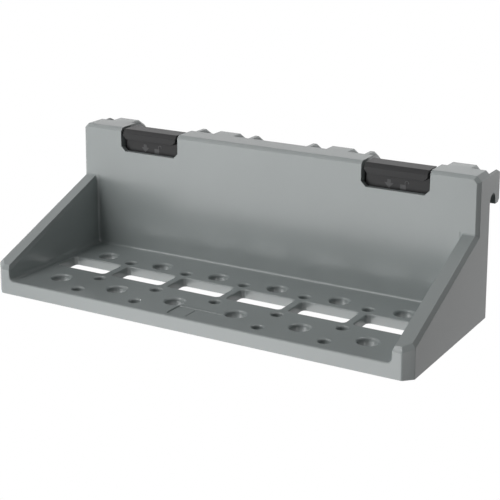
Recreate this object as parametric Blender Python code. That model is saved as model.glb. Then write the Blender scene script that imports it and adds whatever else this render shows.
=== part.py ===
"""A wall-rail screwdriver rack: one moulded body with a bored shelf, and two sprung rail locks.

Metres, +Z up, front towards -Y. Pieces are laid out with y = 0 on the back face of the back plate,
and the rack_origin empty then centres the whole rack over the world origin, standing on z = 0.
"""

import math

import bmesh
import bpy

# Outline of the moulded body
RACK_WIDTH = 0.400
SHELF_DEPTH = 0.1574
PLATE_HEIGHT = 0.1277
PLATE_DEPTH = 0.0242
SHELF_TOP = 0.0125
POST_HEIGHT = 0.0253
GUSSET_HEIGHT = 0.0786
GUSSET_THICKNESS = 0.0169
SIDE_DRAFT_SHARE = 0.0209

# Edges of the body
EDGE_CHAMFER = 0.0030
POST_CHAMFER = 0.0075
PLATE_CORNER_CHAMFER = 0.0044
GUSSET_TOP_FILLET = 0.0020
GUSSET_INNER_CHAMFER = 0.0022
TRAY_FILLET = 0.0038

# Walls and ribs behind the visible faces
WALL = 0.0030
RIB = 0.0025
GUSSET_WALL = 0.0028
GUSSET_RIB_PITCH = 0.0400
BACK_ROW_PITCH = 0.0340
COLLAR_WALL = 0.0024
COLLAR_BOTTOM = 0.0043

# Bores and slots of the shelf; the rows' shares count forwards from the plate over the shelf's free depth
HOLE_PITCH = 0.05988
LARGE_BORE = 0.0164
SMALL_BORE = 0.0085
RIM_ROUND = 0.0012
BACK_LARGE_ROW_SHARE = 0.2320
BACK_SMALL_ROW_SHARE = 0.2808
MIDDLE_SMALL_ROW_SHARE = 0.6456
FRONT_LARGE_ROW_SHARE = 0.7665
FRONT_SMALL_ROW_SHARE = 0.8889
SLOT_RIB = 0.0075
SLOT_BACK_LAND = 0.0028
SLOT_FRONT_LAND = 0.0045
SLOT_CORNER = 0.0040

# Bare shallow field at the front of the shelf
FIELD_WIDTH = 0.0430
FIELD_DEPTH = 0.0200
FIELD_RECESS = 0.0006
FIELD_CORNER = 0.0020

# Hooks that hang on the rail, with heights measured down from the plate's top
HOOK_REACH = 0.0215
HOOK_HEIGHT = 0.0309
HOOK_FOOT_CHAMFER = 0.0027
HOOK_NOSE_DROP = 0.0057
HOOK_TOP_LENGTH = 0.0123
HOOK_SLOT_WIDTH = 0.0127
HOOK_SLOT_DROP = 0.0204
HOOK_CHAMFER = 0.0035
WIDE_HOOK_WIDTH = 0.0276
NARROW_HOOK_WIDTH = 0.0105
OUTER_HOOK_INSET = 0.0303
LOCK_HOOK_GAP = 0.0069
HOOK_GAP = 0.0088
END_HOOK_WIDTH = 0.0054
END_HOOK_DROP = 0.0027
BEAM_DEPTH = 0.0232

# Rail locks, with heights measured down from the plate's top
LOCK_INSET = 0.0769
LOCK_TRAVEL = 0.0080
NOTCH_WIDTH = 0.0620
NOTCH_DEPTH = 0.0217
NOTCH_CHAMFER = 0.0045
NOTCH_WALL = 0.0050
POCKET_SHOULDER_WIDTH = 0.0040
POCKET_SHOULDER_DROP = 0.0322
CAP_SIDE_GAP = 0.0022
CAP_DROP = 0.0009
CAP_HEIGHT = 0.0092
CAP_CHAMFER = 0.0033
SLIDER_WALL = 0.0030
EAR_CLEARANCE = 0.0015
EAR_DEPTH = 0.0060
EAR_HEIGHT = 0.0072
PEG_RADIUS = 0.0022
PEG_LENGTH = 0.0060
PEG_END_GAP = 0.0040
PEG_SPACING = 0.0320
SPRING_WIRE = 0.0008
SPRING_PEG_GAP = 0.0005
SPRING_TURNS = 6
SPRING_TURN_POINTS = 8
RETAINER_THICKNESS = 0.0022
RETAINER_SIDE_LAP = 0.0080
RETAINER_LOWER_LAP = 0.0040
RETAINER_TOP_DROP = 0.0060
SCREW_RADIUS = 0.0015
SCREW_LENGTH = 0.0110
SCREW_HEAD_RADIUS = 0.0028
SCREW_HEAD_HEIGHT = 0.0016
SCREW_CROWN_SHARE = 0.8
SCREW_TIP_SHARE = 0.3
SCREW_HOLE_CLEARANCE = 0.0004

# Shared clearances
GAP = 0.0003
OVERRUN = 0.0020

LARGE_SEGMENTS = 28
SMALL_SEGMENTS = 18
CORNER_SEGMENTS = 4
FILLET_SEGMENTS = 3
FLAT_ANGLE = 0.0001

# The body's derived sizes
TRAY_HALF = RACK_WIDTH / 2 - GUSSET_THICKNESS
BACK_FACE_Y = (SHELF_DEPTH - HOOK_REACH) / 2

# The shelf's derived sizes
LARGE_COUNT = int(2 * TRAY_HALF / HOLE_PITCH)
SMALL_COUNT = LARGE_COUNT - 1
FREE_DEPTH = SHELF_DEPTH - PLATE_DEPTH
BACK_LARGE_ROW = PLATE_DEPTH + FREE_DEPTH * BACK_LARGE_ROW_SHARE
BACK_SMALL_ROW = PLATE_DEPTH + FREE_DEPTH * BACK_SMALL_ROW_SHARE
MIDDLE_SMALL_ROW = PLATE_DEPTH + FREE_DEPTH * MIDDLE_SMALL_ROW_SHARE
FRONT_LARGE_ROW = PLATE_DEPTH + FREE_DEPTH * FRONT_LARGE_ROW_SHARE
FRONT_SMALL_ROW = PLATE_DEPTH + FREE_DEPTH * FRONT_SMALL_ROW_SHARE
SLOT_WIDTH = HOLE_PITCH - SLOT_RIB
SLOT_BACK = BACK_SMALL_ROW + SMALL_BORE / 2 + 2 * RIM_ROUND + SLOT_BACK_LAND
SLOT_FRONT = MIDDLE_SMALL_ROW - SMALL_BORE / 2 - 2 * RIM_ROUND - SLOT_FRONT_LAND
SLOT_ROW = (SLOT_BACK + SLOT_FRONT) / 2
SLOT_DEPTH = SLOT_FRONT - SLOT_BACK

# The locks' derived sizes
LOCK_PLACE = RACK_WIDTH / 2 - LOCK_INSET
NOTCH_BOTTOM = PLATE_HEIGHT - NOTCH_DEPTH
NOTCH_BACK = PLATE_DEPTH - NOTCH_WALL
POCKET_WIDTH = NOTCH_WIDTH + 2 * POCKET_SHOULDER_WIDTH
POCKET_SHOULDER = PLATE_HEIGHT - POCKET_SHOULDER_DROP
SLIDER_BOTTOM = POCKET_SHOULDER - GAP - EAR_HEIGHT
POCKET_FLOOR = SLIDER_BOTTOM - 2 * PEG_LENGTH - LOCK_TRAVEL - PEG_END_GAP
RETAINER_FRONT = 2 * RETAINER_THICKNESS
RETAINER_FLANGE_WIDTH = POCKET_WIDTH + 2 * RETAINER_SIDE_LAP
RETAINER_FLANGE_BOTTOM = POCKET_FLOOR - RETAINER_LOWER_LAP
RETAINER_FLANGE_TOP = POCKET_SHOULDER + GAP
RETAINER_TOP = PLATE_HEIGHT - RETAINER_TOP_DROP
LOCK_BLOCK_HALF = RETAINER_FLANGE_WIDTH / 2 + WALL
SCREW_SPACING = POCKET_WIDTH + RETAINER_SIDE_LAP
SCREW_HEIGHT = (RETAINER_FLANGE_BOTTOM + RETAINER_FLANGE_TOP) / 2
CAP_WIDTH = NOTCH_WIDTH - 2 * CAP_SIDE_GAP
CAP_TOP = PLATE_HEIGHT - CAP_DROP
CAP_BOTTOM = CAP_TOP - CAP_HEIGHT
EAR_REACH = (POCKET_WIDTH - CAP_WIDTH) / 2 - EAR_CLEARANCE
SLIDER_FRONT = NOTCH_BACK - GAP
SLIDER_BACK = RETAINER_FRONT + GAP
PEG_ROW = (SLIDER_FRONT + SLIDER_BACK) / 2
SPRING_RADIUS = PEG_RADIUS + SPRING_PEG_GAP + SPRING_WIRE / 2

# The hooks' derived sizes
LOCK_HOOK_PLACE = LOCK_PLACE - NOTCH_WIDTH / 2 - LOCK_HOOK_GAP
HOOK_STEP = (NARROW_HOOK_WIDTH + WIDE_HOOK_WIDTH) / 2 + HOOK_GAP
INNER_HOOK_PLACE = LOCK_HOOK_PLACE - 2 * HOOK_STEP
NARROW_HOOK_PLACES = [place for place in (INNER_HOOK_PLACE, LOCK_HOOK_PLACE) if place > NARROW_HOOK_WIDTH]
WIDE_HOOK_PLACES = [LOCK_HOOK_PLACE - HOOK_STEP, RACK_WIDTH / 2 - OUTER_HOOK_INSET]
INNER_HOOK_EDGE = min(NARROW_HOOK_PLACES[0] - NARROW_HOOK_WIDTH / 2, WIDE_HOOK_PLACES[0] - WIDE_HOOK_WIDTH / 2)
HOOK_BOTTOM = PLATE_HEIGHT - HOOK_HEIGHT
HOOK_NOSE_HEIGHT = PLATE_HEIGHT - HOOK_NOSE_DROP
HOOK_SLOT_TOP = PLATE_HEIGHT - HOOK_SLOT_DROP
BACK_BEAM_BOTTOM = PLATE_HEIGHT - BEAM_DEPTH


def half_width(height):
    """Half the body's width at a height: its sides lean in as they rise."""
    return RACK_WIDTH / 2 - SIDE_DRAFT_SHARE * height


def slope_height(y):
    """Height of the gussets' sloping top over a place between the front edge and the plate."""
    run = SHELF_DEPTH - PLATE_DEPTH
    return POST_HEIGHT + (GUSSET_HEIGHT - POST_HEIGHT) * (y + SHELF_DEPTH) / run


def slope_angle():
    """Angle of the gussets' sloping top above level."""
    return math.atan2(GUSSET_HEIGHT - POST_HEIGHT, SHELF_DEPTH - PLATE_DEPTH)


def clear_scene():
    """Remove every object of the scene."""
    for item in list(bpy.data.objects):
        bpy.data.objects.remove(item, do_unlink=True)


def plastic(name, colour, roughness):
    """A moulded plastic."""
    material = bpy.data.materials.new(name)
    material.use_nodes = True
    shader = material.node_tree.nodes["Principled BSDF"]
    shader.inputs["Base Color"].default_value = (*colour, 1.0)
    shader.inputs["Roughness"].default_value = roughness
    shader.inputs["Metallic"].default_value = 0.0
    return material


def steel(name, colour, roughness):
    """A plated or drawn steel."""
    material = plastic(name, colour, roughness)
    material.node_tree.nodes["Principled BSDF"].inputs["Metallic"].default_value = 1.0
    return material


def add_object(name, mesh, parent=None, location=(0, 0, 0)):
    """Link a mesh to the scene as an object."""
    item = bpy.data.objects.new(name, mesh)
    bpy.context.scene.collection.objects.link(item)
    item.parent = parent
    item.location = location
    return item


def finish_mesh(shape, name):
    """Turn a bmesh into a mesh with its faces pointing out."""
    bmesh.ops.recalc_face_normals(shape, faces=shape.faces)
    mesh = bpy.data.meshes.new(name)
    shape.to_mesh(mesh)
    shape.free()
    return mesh


def cutter(name, shape, parent):
    """Keep a bmesh as a hidden helper that a Boolean uses."""
    item = add_object(name, finish_mesh(shape, name), parent)
    item.hide_render = True
    item.display_type = "WIRE"
    return item


def combine(item, other, operation):
    """Add a Boolean modifier that joins or cuts with another object."""
    modifier = item.modifiers.new(other.name, "BOOLEAN")
    modifier.operation = operation
    modifier.solver = "EXACT"
    modifier.object = other


def add_prism(shape, outline, place, low, high):
    """Extrude a closed outline between two levels; place(a, b, level) gives a point in space."""
    bottom = [shape.verts.new(place(a, b, low)) for a, b in outline]
    top = [shape.verts.new(place(a, b, high)) for a, b in outline]
    shape.faces.new(bottom)
    shape.faces.new(list(reversed(top)))
    count = len(outline)
    for index in range(count):
        following = (index + 1) % count
        shape.faces.new((bottom[following], bottom[index], top[index], top[following]))
    return bottom, top


def along_x(a, b, level):
    """An outline drawn in Y and Z, extruded along X."""
    return (level, a, b)


def along_y(a, b, level):
    """An outline drawn in X and Z, extruded along Y."""
    return (a, level, b)


def along_z(a, b, level):
    """An outline drawn in X and Y, extruded along Z."""
    return (a, b, level)


def rectangle(a_low, a_high, b_low, b_high):
    """Four corners of a rectangle."""
    return [(a_low, b_low), (a_high, b_low), (a_high, b_high), (a_low, b_high)]


def add_box(shape, x_span, y_span, z_span):
    """Add a closed box."""
    outline = rectangle(*x_span, *y_span)
    add_prism(shape, outline, along_z, *z_span)


def rounded_rectangle(centre, width, depth, radius, segments):
    """Corner points of a rectangle with round corners."""
    points = []
    corners = ((1, 1, 0), (-1, 1, 1), (-1, -1, 2), (1, -1, 3))
    for sign_a, sign_b, quarter in corners:
        middle_a = centre[0] + sign_a * (width / 2 - radius)
        middle_b = centre[1] + sign_b * (depth / 2 - radius)
        for step in range(segments + 1):
            angle = math.pi / 2 * (quarter + step / segments)
            point = (middle_a + radius * math.cos(angle), middle_b + radius * math.sin(angle))
            points.append(point)
    return points


def circle(centre, radius, segments):
    """Points round a circle."""
    turns = [2 * math.pi * step / segments for step in range(segments)]
    return [(centre[0] + radius * math.cos(t), centre[1] + radius * math.sin(t)) for t in turns]


def add_loft(shape, rings):
    """Join rings of equal count into one closed solid with flat ends."""
    loops = [[shape.verts.new(point) for point in ring] for ring in rings]
    count = len(loops[0])
    shape.faces.new(loops[0])
    shape.faces.new(list(reversed(loops[-1])))
    for lower, upper in zip(loops, loops[1:]):
        for index in range(count):
            following = (index + 1) % count
            shape.faces.new((lower[following], lower[index], upper[index], upper[following]))


def rim_levels():
    """Growth and height of a rounded rim, from the bore's wall up to past the shelf's top."""
    levels = []
    for step in range(FILLET_SEGMENTS + 1):
        angle = math.pi / 2 * step / FILLET_SEGMENTS
        growth = RIM_ROUND * (1 - math.cos(angle))
        height = SHELF_TOP - RIM_ROUND * (1 - math.sin(angle))
        levels.append((growth, height))
    levels.append((RIM_ROUND, SHELF_TOP + OVERRUN))
    return levels


def add_rimmed_hole(shape, outline_at):
    """Add the cutter of one opening; outline_at(growth) gives its outline, grown at the rim."""
    levels = [(0, -OVERRUN)] + rim_levels()
    add_loft(shape, [[(a, b, height) for a, b in outline_at(growth)] for growth, height in levels])


def row_places(count):
    """Places along X of a centred row at the hole pitch."""
    return [(index - (count - 1) / 2) * HOLE_PITCH for index in range(count)]


def large_holes():
    """Centres of the large bores."""
    rows = (BACK_LARGE_ROW, FRONT_LARGE_ROW)
    return [(x, -row) for row in rows for x in row_places(LARGE_COUNT)]


def small_holes():
    """Centres of the small bores; the middle of the front row stays clear for the bare field."""
    places = [(x, -row) for row in (BACK_SMALL_ROW, MIDDLE_SMALL_ROW) for x in row_places(SMALL_COUNT)]
    field = FIELD_WIDTH / 2 + SMALL_BORE / 2 + RIM_ROUND
    front = [(x, -FRONT_SMALL_ROW) for x in row_places(SMALL_COUNT) if abs(x) > field]
    return places + front


def cells_between(start, end, pitch, rib):
    """Split a span at every multiple of the pitch, and leave a rib there."""
    first = math.ceil(start / pitch)
    last = math.floor(end / pitch)
    edges = [start - rib / 2] + [index * pitch for index in range(first, last + 1)] + [end + rib / 2]
    cells = [(low + rib / 2, high - rib / 2) for low, high in zip(edges, edges[1:])]
    return [(low, high) for low, high in cells if high - low > rib]


def hook_outline():
    """The hooks seen from the side, in Y and Z: arm, nose, foot and the round-topped rail slot."""
    radius = HOOK_SLOT_WIDTH / 2
    steps = 2 * CORNER_SEGMENTS
    turns = [math.pi * step / steps for step in range(steps + 1)]
    arc = [(radius * (1 + math.cos(turn)), HOOK_SLOT_TOP - radius * (1 - math.sin(turn))) for turn in turns]
    return [
        (HOOK_TOP_LENGTH, PLATE_HEIGHT),
        (HOOK_REACH, HOOK_NOSE_HEIGHT),
        (HOOK_REACH, HOOK_BOTTOM + HOOK_FOOT_CHAMFER),
        (HOOK_REACH - HOOK_FOOT_CHAMFER, HOOK_BOTTOM),
        (HOOK_SLOT_WIDTH, HOOK_BOTTOM),
        *arc,
    ]


def side_outline():
    """The body seen from its side, in Y and Z, with a hook at its back."""
    angle = slope_angle()
    fillet_y = -PLATE_DEPTH - GUSSET_TOP_FILLET * math.cos(angle)
    fillet_z = GUSSET_HEIGHT - GUSSET_TOP_FILLET * math.sin(angle)
    return [
        (0, 0),
        (-SHELF_DEPTH, 0),
        (-SHELF_DEPTH, POST_HEIGHT),
        (fillet_y, fillet_z),
        (-PLATE_DEPTH, GUSSET_HEIGHT + GUSSET_TOP_FILLET),
        (-PLATE_DEPTH, PLATE_HEIGHT),
        *hook_outline(),
    ]


def near(value, target):
    """Whether two lengths are the same place."""
    return abs(value - target) < GAP / 10


def bevel_edges(shape, chosen, width, segments=1):
    """Cut a chamfer, or a fillet of several segments, along the edges that chosen() picks."""
    edges = [edge for edge in shape.edges if chosen(edge)]
    bmesh.ops.bevel(
        shape,
        geom=edges,
        offset=width,
        offset_type="OFFSET",
        affect="EDGES",
        segments=segments,
        profile=0.5,
        clamp_overlap=False,
    )


def cut_plate_corners(shape):
    """Cut off the two top side corners of the plate and of the end hooks, straight through."""
    low = PLATE_HEIGHT - PLATE_CORNER_CHAMFER
    rise = (PLATE_CORNER_CHAMFER, half_width(low) - half_width(PLATE_HEIGHT) + PLATE_CORNER_CHAMFER)
    for side in (-1, 1):
        cut = bmesh.ops.bisect_plane(
            shape,
            geom=[*shape.verts, *shape.edges, *shape.faces],
            plane_co=(side * half_width(low), 0, low),
            plane_no=(side * rise[0], 0, rise[1]),
            clear_outer=True,
        )
        rim = [item for item in cut["geom_cut"] if isinstance(item, bmesh.types.BMEdge)]
        bmesh.ops.holes_fill(shape, edges=rim, sides=0)


def split_twisted_faces(shape):
    """Split each face that isn't flat, so that a Boolean sees only flat ones."""
    bmesh.ops.connect_verts_nonplanar(shape, faces=shape.faces, angle_limit=FLAT_ANGLE)


def post_corner_edge(edge):
    """The two upright front corners of the posts."""
    first, second = edge.verts
    upright = near(first.co.x, second.co.x) or abs(first.co.z - second.co.z) > GAP
    at_front = all(near(v.co.y, -SHELF_DEPTH) for v in edge.verts)
    at_side = all(near(abs(v.co.x), half_width(v.co.z)) for v in edge.verts)
    return upright and at_front and at_side


def on_upper_line(vertex):
    """Whether a corner lies on the slope, its fillet or the plate's front face above it."""
    angle = slope_angle()
    fillet_y = -PLATE_DEPTH - GUSSET_TOP_FILLET * math.cos(angle)
    y, z = vertex.co.y, vertex.co.z
    on_slope = y < fillet_y + GAP and near(z, slope_height(y))
    on_plate = near(y, -PLATE_DEPTH) and z > GUSSET_HEIGHT
    return on_slope or on_plate


def rim_edge(edge):
    """The edges that the moulding's outer chamfer follows."""
    first, second = edge.verts
    if not (on_upper_line(first) and on_upper_line(second)):
        return False
    across = near(first.co.y, second.co.y) and near(first.co.z, second.co.z)
    at_ends = near(first.co.y, -SHELF_DEPTH) or near(first.co.z, PLATE_HEIGHT)
    return at_ends or not across


def body_blank(parent):
    """The body's outer form: its side outline swept across, with the sides leaning in."""
    shape = bmesh.new()
    add_prism(shape, side_outline(), along_x, -1, 1)
    for vertex in shape.verts:
        vertex.co.x *= half_width(vertex.co.z)
    bmesh.ops.recalc_face_normals(shape, faces=shape.faces)
    cut_plate_corners(shape)
    bevel_edges(shape, post_corner_edge, POST_CHAMFER)
    bevel_edges(shape, rim_edge, EDGE_CHAMFER)
    split_twisted_faces(shape)
    return add_object("rack_body", finish_mesh(shape, "rack_body"), parent)


def tray_cutter(parent):
    """The space between the gussets and above the shelf, with round inner corners."""
    shape = bmesh.new()
    spans = (-TRAY_HALF, TRAY_HALF), (-SHELF_DEPTH - OVERRUN, -PLATE_DEPTH)
    add_box(shape, *spans, (SHELF_TOP, PLATE_HEIGHT + OVERRUN))

    def inner_corner(edge):
        middle = (edge.verts[0].co + edge.verts[1].co) / 2
        low = near(middle.z, SHELF_TOP) and middle.y > -SHELF_DEPTH
        upright = near(middle.y, -PLATE_DEPTH) and near(abs(middle.x), TRAY_HALF)
        return low or upright

    bevel_edges(shape, inner_corner, TRAY_FILLET, FILLET_SEGMENTS)
    split_twisted_faces(shape)
    return cutter("tray_cutter", shape, parent)


def gusset_chamfer_cutter(parent):
    """Two sloping wedges that chamfer the gussets' inner top edges."""
    shape = bmesh.new()
    reach = GUSSET_INNER_CHAMFER
    front = -SHELF_DEPTH - OVERRUN
    back = -PLATE_DEPTH - GUSSET_TOP_FILLET
    section = [
        (TRAY_HALF - OVERRUN, -reach - OVERRUN),
        (TRAY_HALF + reach + OVERRUN, OVERRUN),
        (TRAY_HALF - OVERRUN, OVERRUN),
    ]
    for side in (-1, 1):
        ring_at = [[(side * x, y, slope_height(y) + z) for x, z in section] for y in (front, back)]
        add_loft(shape, ring_at)
    return cutter("gusset_chamfer_cutter", shape, parent)


def gusset_hollow_cutter(parent):
    """Cells inside the gussets, open below and divided by cross ribs."""
    shape = bmesh.new()
    inner = TRAY_HALF + GUSSET_WALL
    outer = half_width(GUSSET_HEIGHT) - GUSSET_WALL
    front = -(SHELF_DEPTH - POST_CHAMFER - WALL)
    back = -(PLATE_DEPTH + WALL)
    roof = (GUSSET_WALL + EDGE_CHAMFER) / 2 / math.cos(slope_angle()) + GAP
    for low, high in cells_between(front, back, GUSSET_RIB_PITCH, RIB):
        outline = [
            (low, -OVERRUN),
            (high, -OVERRUN),
            (high, slope_height(high) - roof),
            (low, slope_height(low) - roof),
        ]
        for side in (-1, 1):
            add_prism(shape, outline, along_x, side * inner, side * outer)
    return cutter("gusset_hollow_cutter", shape, parent)


def back_rows():
    """Heights of the rows of cells in the back of the plate, up to the beam that carries the hooks."""
    return cells_between(WALL, BACK_BEAM_BOTTOM, BACK_ROW_PITCH, RIB)


def back_row_spans(top):
    """Stretches along X that a row of cells may take, clear of the lock pockets."""
    side = half_width(PLATE_HEIGHT) - WALL
    if top < RETAINER_FLANGE_BOTTOM:
        return [(-side, side)]
    inner = LOCK_PLACE - LOCK_BLOCK_HALF
    outer = LOCK_PLACE + LOCK_BLOCK_HALF
    return [(-side, -outer), (-inner, inner), (outer, side)]


def back_hollow_cutter(parent):
    """Cells between the ribs of the plate, open at the back."""
    shape = bmesh.new()
    depth = (-(PLATE_DEPTH - WALL), OVERRUN)
    for bottom, top in back_rows():
        for start, end in back_row_spans(top):
            for low, high in cells_between(start, end, HOLE_PITCH / 2, RIB):
                add_box(shape, (low, high), depth, (bottom, top))
    clear = INNER_HOOK_EDGE - RIB
    beam = (BACK_BEAM_BOTTOM + RIB, PLATE_HEIGHT - WALL)
    for low, high in cells_between(-clear, clear, HOLE_PITCH / 2, RIB):
        add_box(shape, (low, high), depth, beam)
    return cutter("back_hollow_cutter", shape, parent)


def slot_places():
    """Places along X of the slots, one behind each pair of large bores."""
    return row_places(LARGE_COUNT)


def shelf_hollow_cutter(parent):
    """The hollow under the shelf's skin, less the collars and ribs that stay in it."""
    keep_span = (COLLAR_BOTTOM, SHELF_TOP)
    hollow = bmesh.new()
    y_span = (-(SHELF_DEPTH - WALL), -PLATE_DEPTH)
    add_box(hollow, (-TRAY_HALF, TRAY_HALF), y_span, (-OVERRUN, SHELF_TOP - WALL))
    block = cutter("shelf_hollow_cutter", hollow, parent)

    slots = bmesh.new()
    half = slot_places()[-1] + SLOT_WIDTH / 2 + RIM_ROUND + COLLAR_WALL
    reach = SLOT_DEPTH / 2 + RIM_ROUND + COLLAR_WALL
    add_box(slots, (-half, half), (-SLOT_ROW - reach, -SLOT_ROW + reach), keep_span)
    combine(block, cutter("slot_collar", slots, parent), "DIFFERENCE")

    large = bmesh.new()
    for centre in large_holes():
        outline = circle(centre, LARGE_BORE / 2 + COLLAR_WALL, SMALL_SEGMENTS)
        add_prism(large, outline, along_z, *keep_span)
    combine(block, cutter("large_collars", large, parent), "DIFFERENCE")

    small = bmesh.new()
    for centre in small_holes():
        outline = circle(centre, SMALL_BORE / 2 + COLLAR_WALL, SMALL_SEGMENTS)
        add_prism(small, outline, along_z, *keep_span)
    combine(block, cutter("small_collars", small, parent), "DIFFERENCE")

    ribs = bmesh.new()
    for x in row_places(SMALL_COUNT):
        add_box(ribs, (x - RIB / 2, x + RIB / 2), (-SHELF_DEPTH, 0), keep_span)
    combine(block, cutter("shelf_ribs", ribs, parent), "DIFFERENCE")
    return block


def shelf_holes_cutter(parent):
    """All round bores of the shelf."""
    shape = bmesh.new()
    for centre in large_holes():
        add_rimmed_hole(shape, lambda grow, c=centre: circle(c, LARGE_BORE / 2 + grow, LARGE_SEGMENTS))
    for centre in small_holes():
        add_rimmed_hole(shape, lambda grow, c=centre: circle(c, SMALL_BORE / 2 + grow, SMALL_SEGMENTS))
    return cutter("shelf_holes_cutter", shape, parent)


def slots_cutter(parent):
    """The six slots for flat tools."""
    shape = bmesh.new()
    for x in slot_places():

        def outline(grow, x=x):
            sizes = (SLOT_WIDTH + 2 * grow, SLOT_DEPTH + 2 * grow, SLOT_CORNER + grow)
            return rounded_rectangle((x, -SLOT_ROW), *sizes, CORNER_SEGMENTS)

        add_rimmed_hole(shape, outline)
    return cutter("slots_cutter", shape, parent)


def field_cutter(parent):
    """The shallow bare field at the front of the shelf."""
    shape = bmesh.new()
    sizes = (FIELD_WIDTH, FIELD_DEPTH, FIELD_CORNER)
    outline = rounded_rectangle((0, -FRONT_SMALL_ROW), *sizes, FILLET_SEGMENTS)
    add_prism(shape, outline, along_z, SHELF_TOP - FIELD_RECESS, SHELF_TOP + OVERRUN)
    return cutter("field_cutter", shape, parent)


def notch_outline(centre):
    """A lock's notch seen from the front, with its lower corners cut off."""
    half = NOTCH_WIDTH / 2
    top = PLATE_HEIGHT + OVERRUN
    return [
        (centre - half, top),
        (centre - half, NOTCH_BOTTOM + NOTCH_CHAMFER),
        (centre - half + NOTCH_CHAMFER, NOTCH_BOTTOM),
        (centre + half - NOTCH_CHAMFER, NOTCH_BOTTOM),
        (centre + half, NOTCH_BOTTOM + NOTCH_CHAMFER),
        (centre + half, top),
    ]


def pocket_outline(centre):
    """A lock's pocket seen from the front: wide below, as wide as the notch above its shoulders."""
    wide = POCKET_WIDTH / 2
    narrow = NOTCH_WIDTH / 2
    top = PLATE_HEIGHT + OVERRUN
    return [
        (centre - wide, POCKET_FLOOR),
        (centre + wide, POCKET_FLOOR),
        (centre + wide, POCKET_SHOULDER),
        (centre + narrow, POCKET_SHOULDER),
        (centre + narrow, top),
        (centre - narrow, top),
        (centre - narrow, POCKET_SHOULDER),
        (centre - wide, POCKET_SHOULDER),
    ]


def lock_cutters(parent):
    """Notches, pockets, retainer seats and screw holes of both locks."""
    notches, pockets, seats, holes = (bmesh.new() for _ in range(4))
    seat_half = RETAINER_FLANGE_WIDTH / 2 + GAP
    seat_heights = (RETAINER_FLANGE_BOTTOM - GAP, RETAINER_FLANGE_TOP + GAP)
    hole_radius = SCREW_RADIUS + SCREW_HOLE_CLEARANCE
    hole_end = -(RETAINER_FRONT + SCREW_LENGTH + GAP)
    for centre in (-LOCK_PLACE, LOCK_PLACE):
        front = (-PLATE_DEPTH - OVERRUN, -NOTCH_BACK + OVERRUN)
        add_prism(notches, notch_outline(centre), along_y, *front)
        add_prism(pockets, pocket_outline(centre), along_y, -NOTCH_BACK, OVERRUN)
        seat = (centre - seat_half, centre + seat_half)
        add_box(seats, seat, (-RETAINER_FRONT - GAP, OVERRUN), seat_heights)
        for side in (-1, 1):
            middle = (centre + side * SCREW_SPACING / 2, SCREW_HEIGHT)
            outline = circle(middle, hole_radius, SMALL_SEGMENTS // 2)
            add_prism(holes, outline, along_y, hole_end, OVERRUN)
    named = {"notch": notches, "pocket": pockets, "retainer_seat": seats, "screw_hole": holes}
    return [cutter(f"{name}_cutter", shape, parent) for name, shape in named.items()]


def peg_adder(parent):
    """Pegs on the pocket floors that centre the springs' lower ends."""
    shape = bmesh.new()
    for centre in (-LOCK_PLACE, LOCK_PLACE):
        for side in (-1, 1):
            middle = (centre + side * PEG_SPACING / 2, -PEG_ROW)
            outline = circle(middle, PEG_RADIUS, SMALL_SEGMENTS // 2)
            span = (POCKET_FLOOR - OVERRUN, POCKET_FLOOR + PEG_LENGTH)
            add_prism(shape, outline, along_z, *span)
    return cutter("pocket_pegs", shape, parent)


def end_hook_trimmer(parent):
    """Cuts the swept hook away between the two ends, and chamfers the end hooks' inner sides."""
    shape = bmesh.new()
    inner = half_width(PLATE_HEIGHT) - END_HOOK_WIDTH
    peak = half_width(PLATE_HEIGHT) - PLATE_CORNER_CHAMFER + END_HOOK_DROP
    peak_height = PLATE_HEIGHT - END_HOOK_DROP
    top = peak_height + EDGE_CHAMFER + OVERRUN
    right = [
        (inner, HOOK_BOTTOM - OVERRUN),
        (inner, peak_height - (peak - inner)),
        (peak + top - peak_height, top),
    ]
    left = [(-x, z) for x, z in reversed(right)]
    add_prism(shape, right + left, along_y, 0, HOOK_REACH + OVERRUN)
    return cutter("end_hook_trimmer", shape, parent)


def add_hook(shape, low, high):
    """Add one hook between two places along X, with chamfers along its top and nose."""
    hook = bmesh.new()
    root_low = HOOK_SLOT_TOP - HOOK_SLOT_WIDTH / 2 + OVERRUN
    root = [(-OVERRUN, root_low), (-OVERRUN, PLATE_HEIGHT - OVERRUN), (0, PLATE_HEIGHT)]
    add_prism(hook, hook_outline() + root, along_x, low, high)
    bmesh.ops.recalc_face_normals(hook, faces=hook.faces)

    def side_edge(edge):
        first, second = edge.verts
        return near(first.co.x, second.co.x) and min(first.co.z, second.co.z) > HOOK_NOSE_HEIGHT - GAP

    bevel_edges(hook, side_edge, HOOK_CHAMFER)
    mesh = finish_mesh(hook, "hook")
    shape.from_mesh(mesh)
    bpy.data.meshes.remove(mesh)


def hooks_adder(parent, name, places, width):
    """One width of hook at its places on both halves of the back."""
    shape = bmesh.new()
    for place in places:
        for side in (-1, 1):
            add_hook(shape, side * place - width / 2, side * place + width / 2)
    return cutter(name, shape, parent)


def rack_body(parent, material):
    """The moulded body, cut and joined from its blank."""
    body = body_blank(parent)
    body.data.materials.append(material)
    for build in (
        end_hook_trimmer,
        tray_cutter,
        gusset_chamfer_cutter,
        gusset_hollow_cutter,
        back_hollow_cutter,
        shelf_hollow_cutter,
        shelf_holes_cutter,
        slots_cutter,
        field_cutter,
    ):
        combine(body, build(parent), "DIFFERENCE")
    for item in lock_cutters(parent):
        combine(body, item, "DIFFERENCE")
    combine(body, peg_adder(parent), "UNION")
    combine(body, hooks_adder(parent, "wide_hooks", WIDE_HOOK_PLACES, WIDE_HOOK_WIDTH), "UNION")
    combine(body, hooks_adder(parent, "narrow_hooks", NARROW_HOOK_PLACES, NARROW_HOOK_WIDTH), "UNION")
    return body


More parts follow.
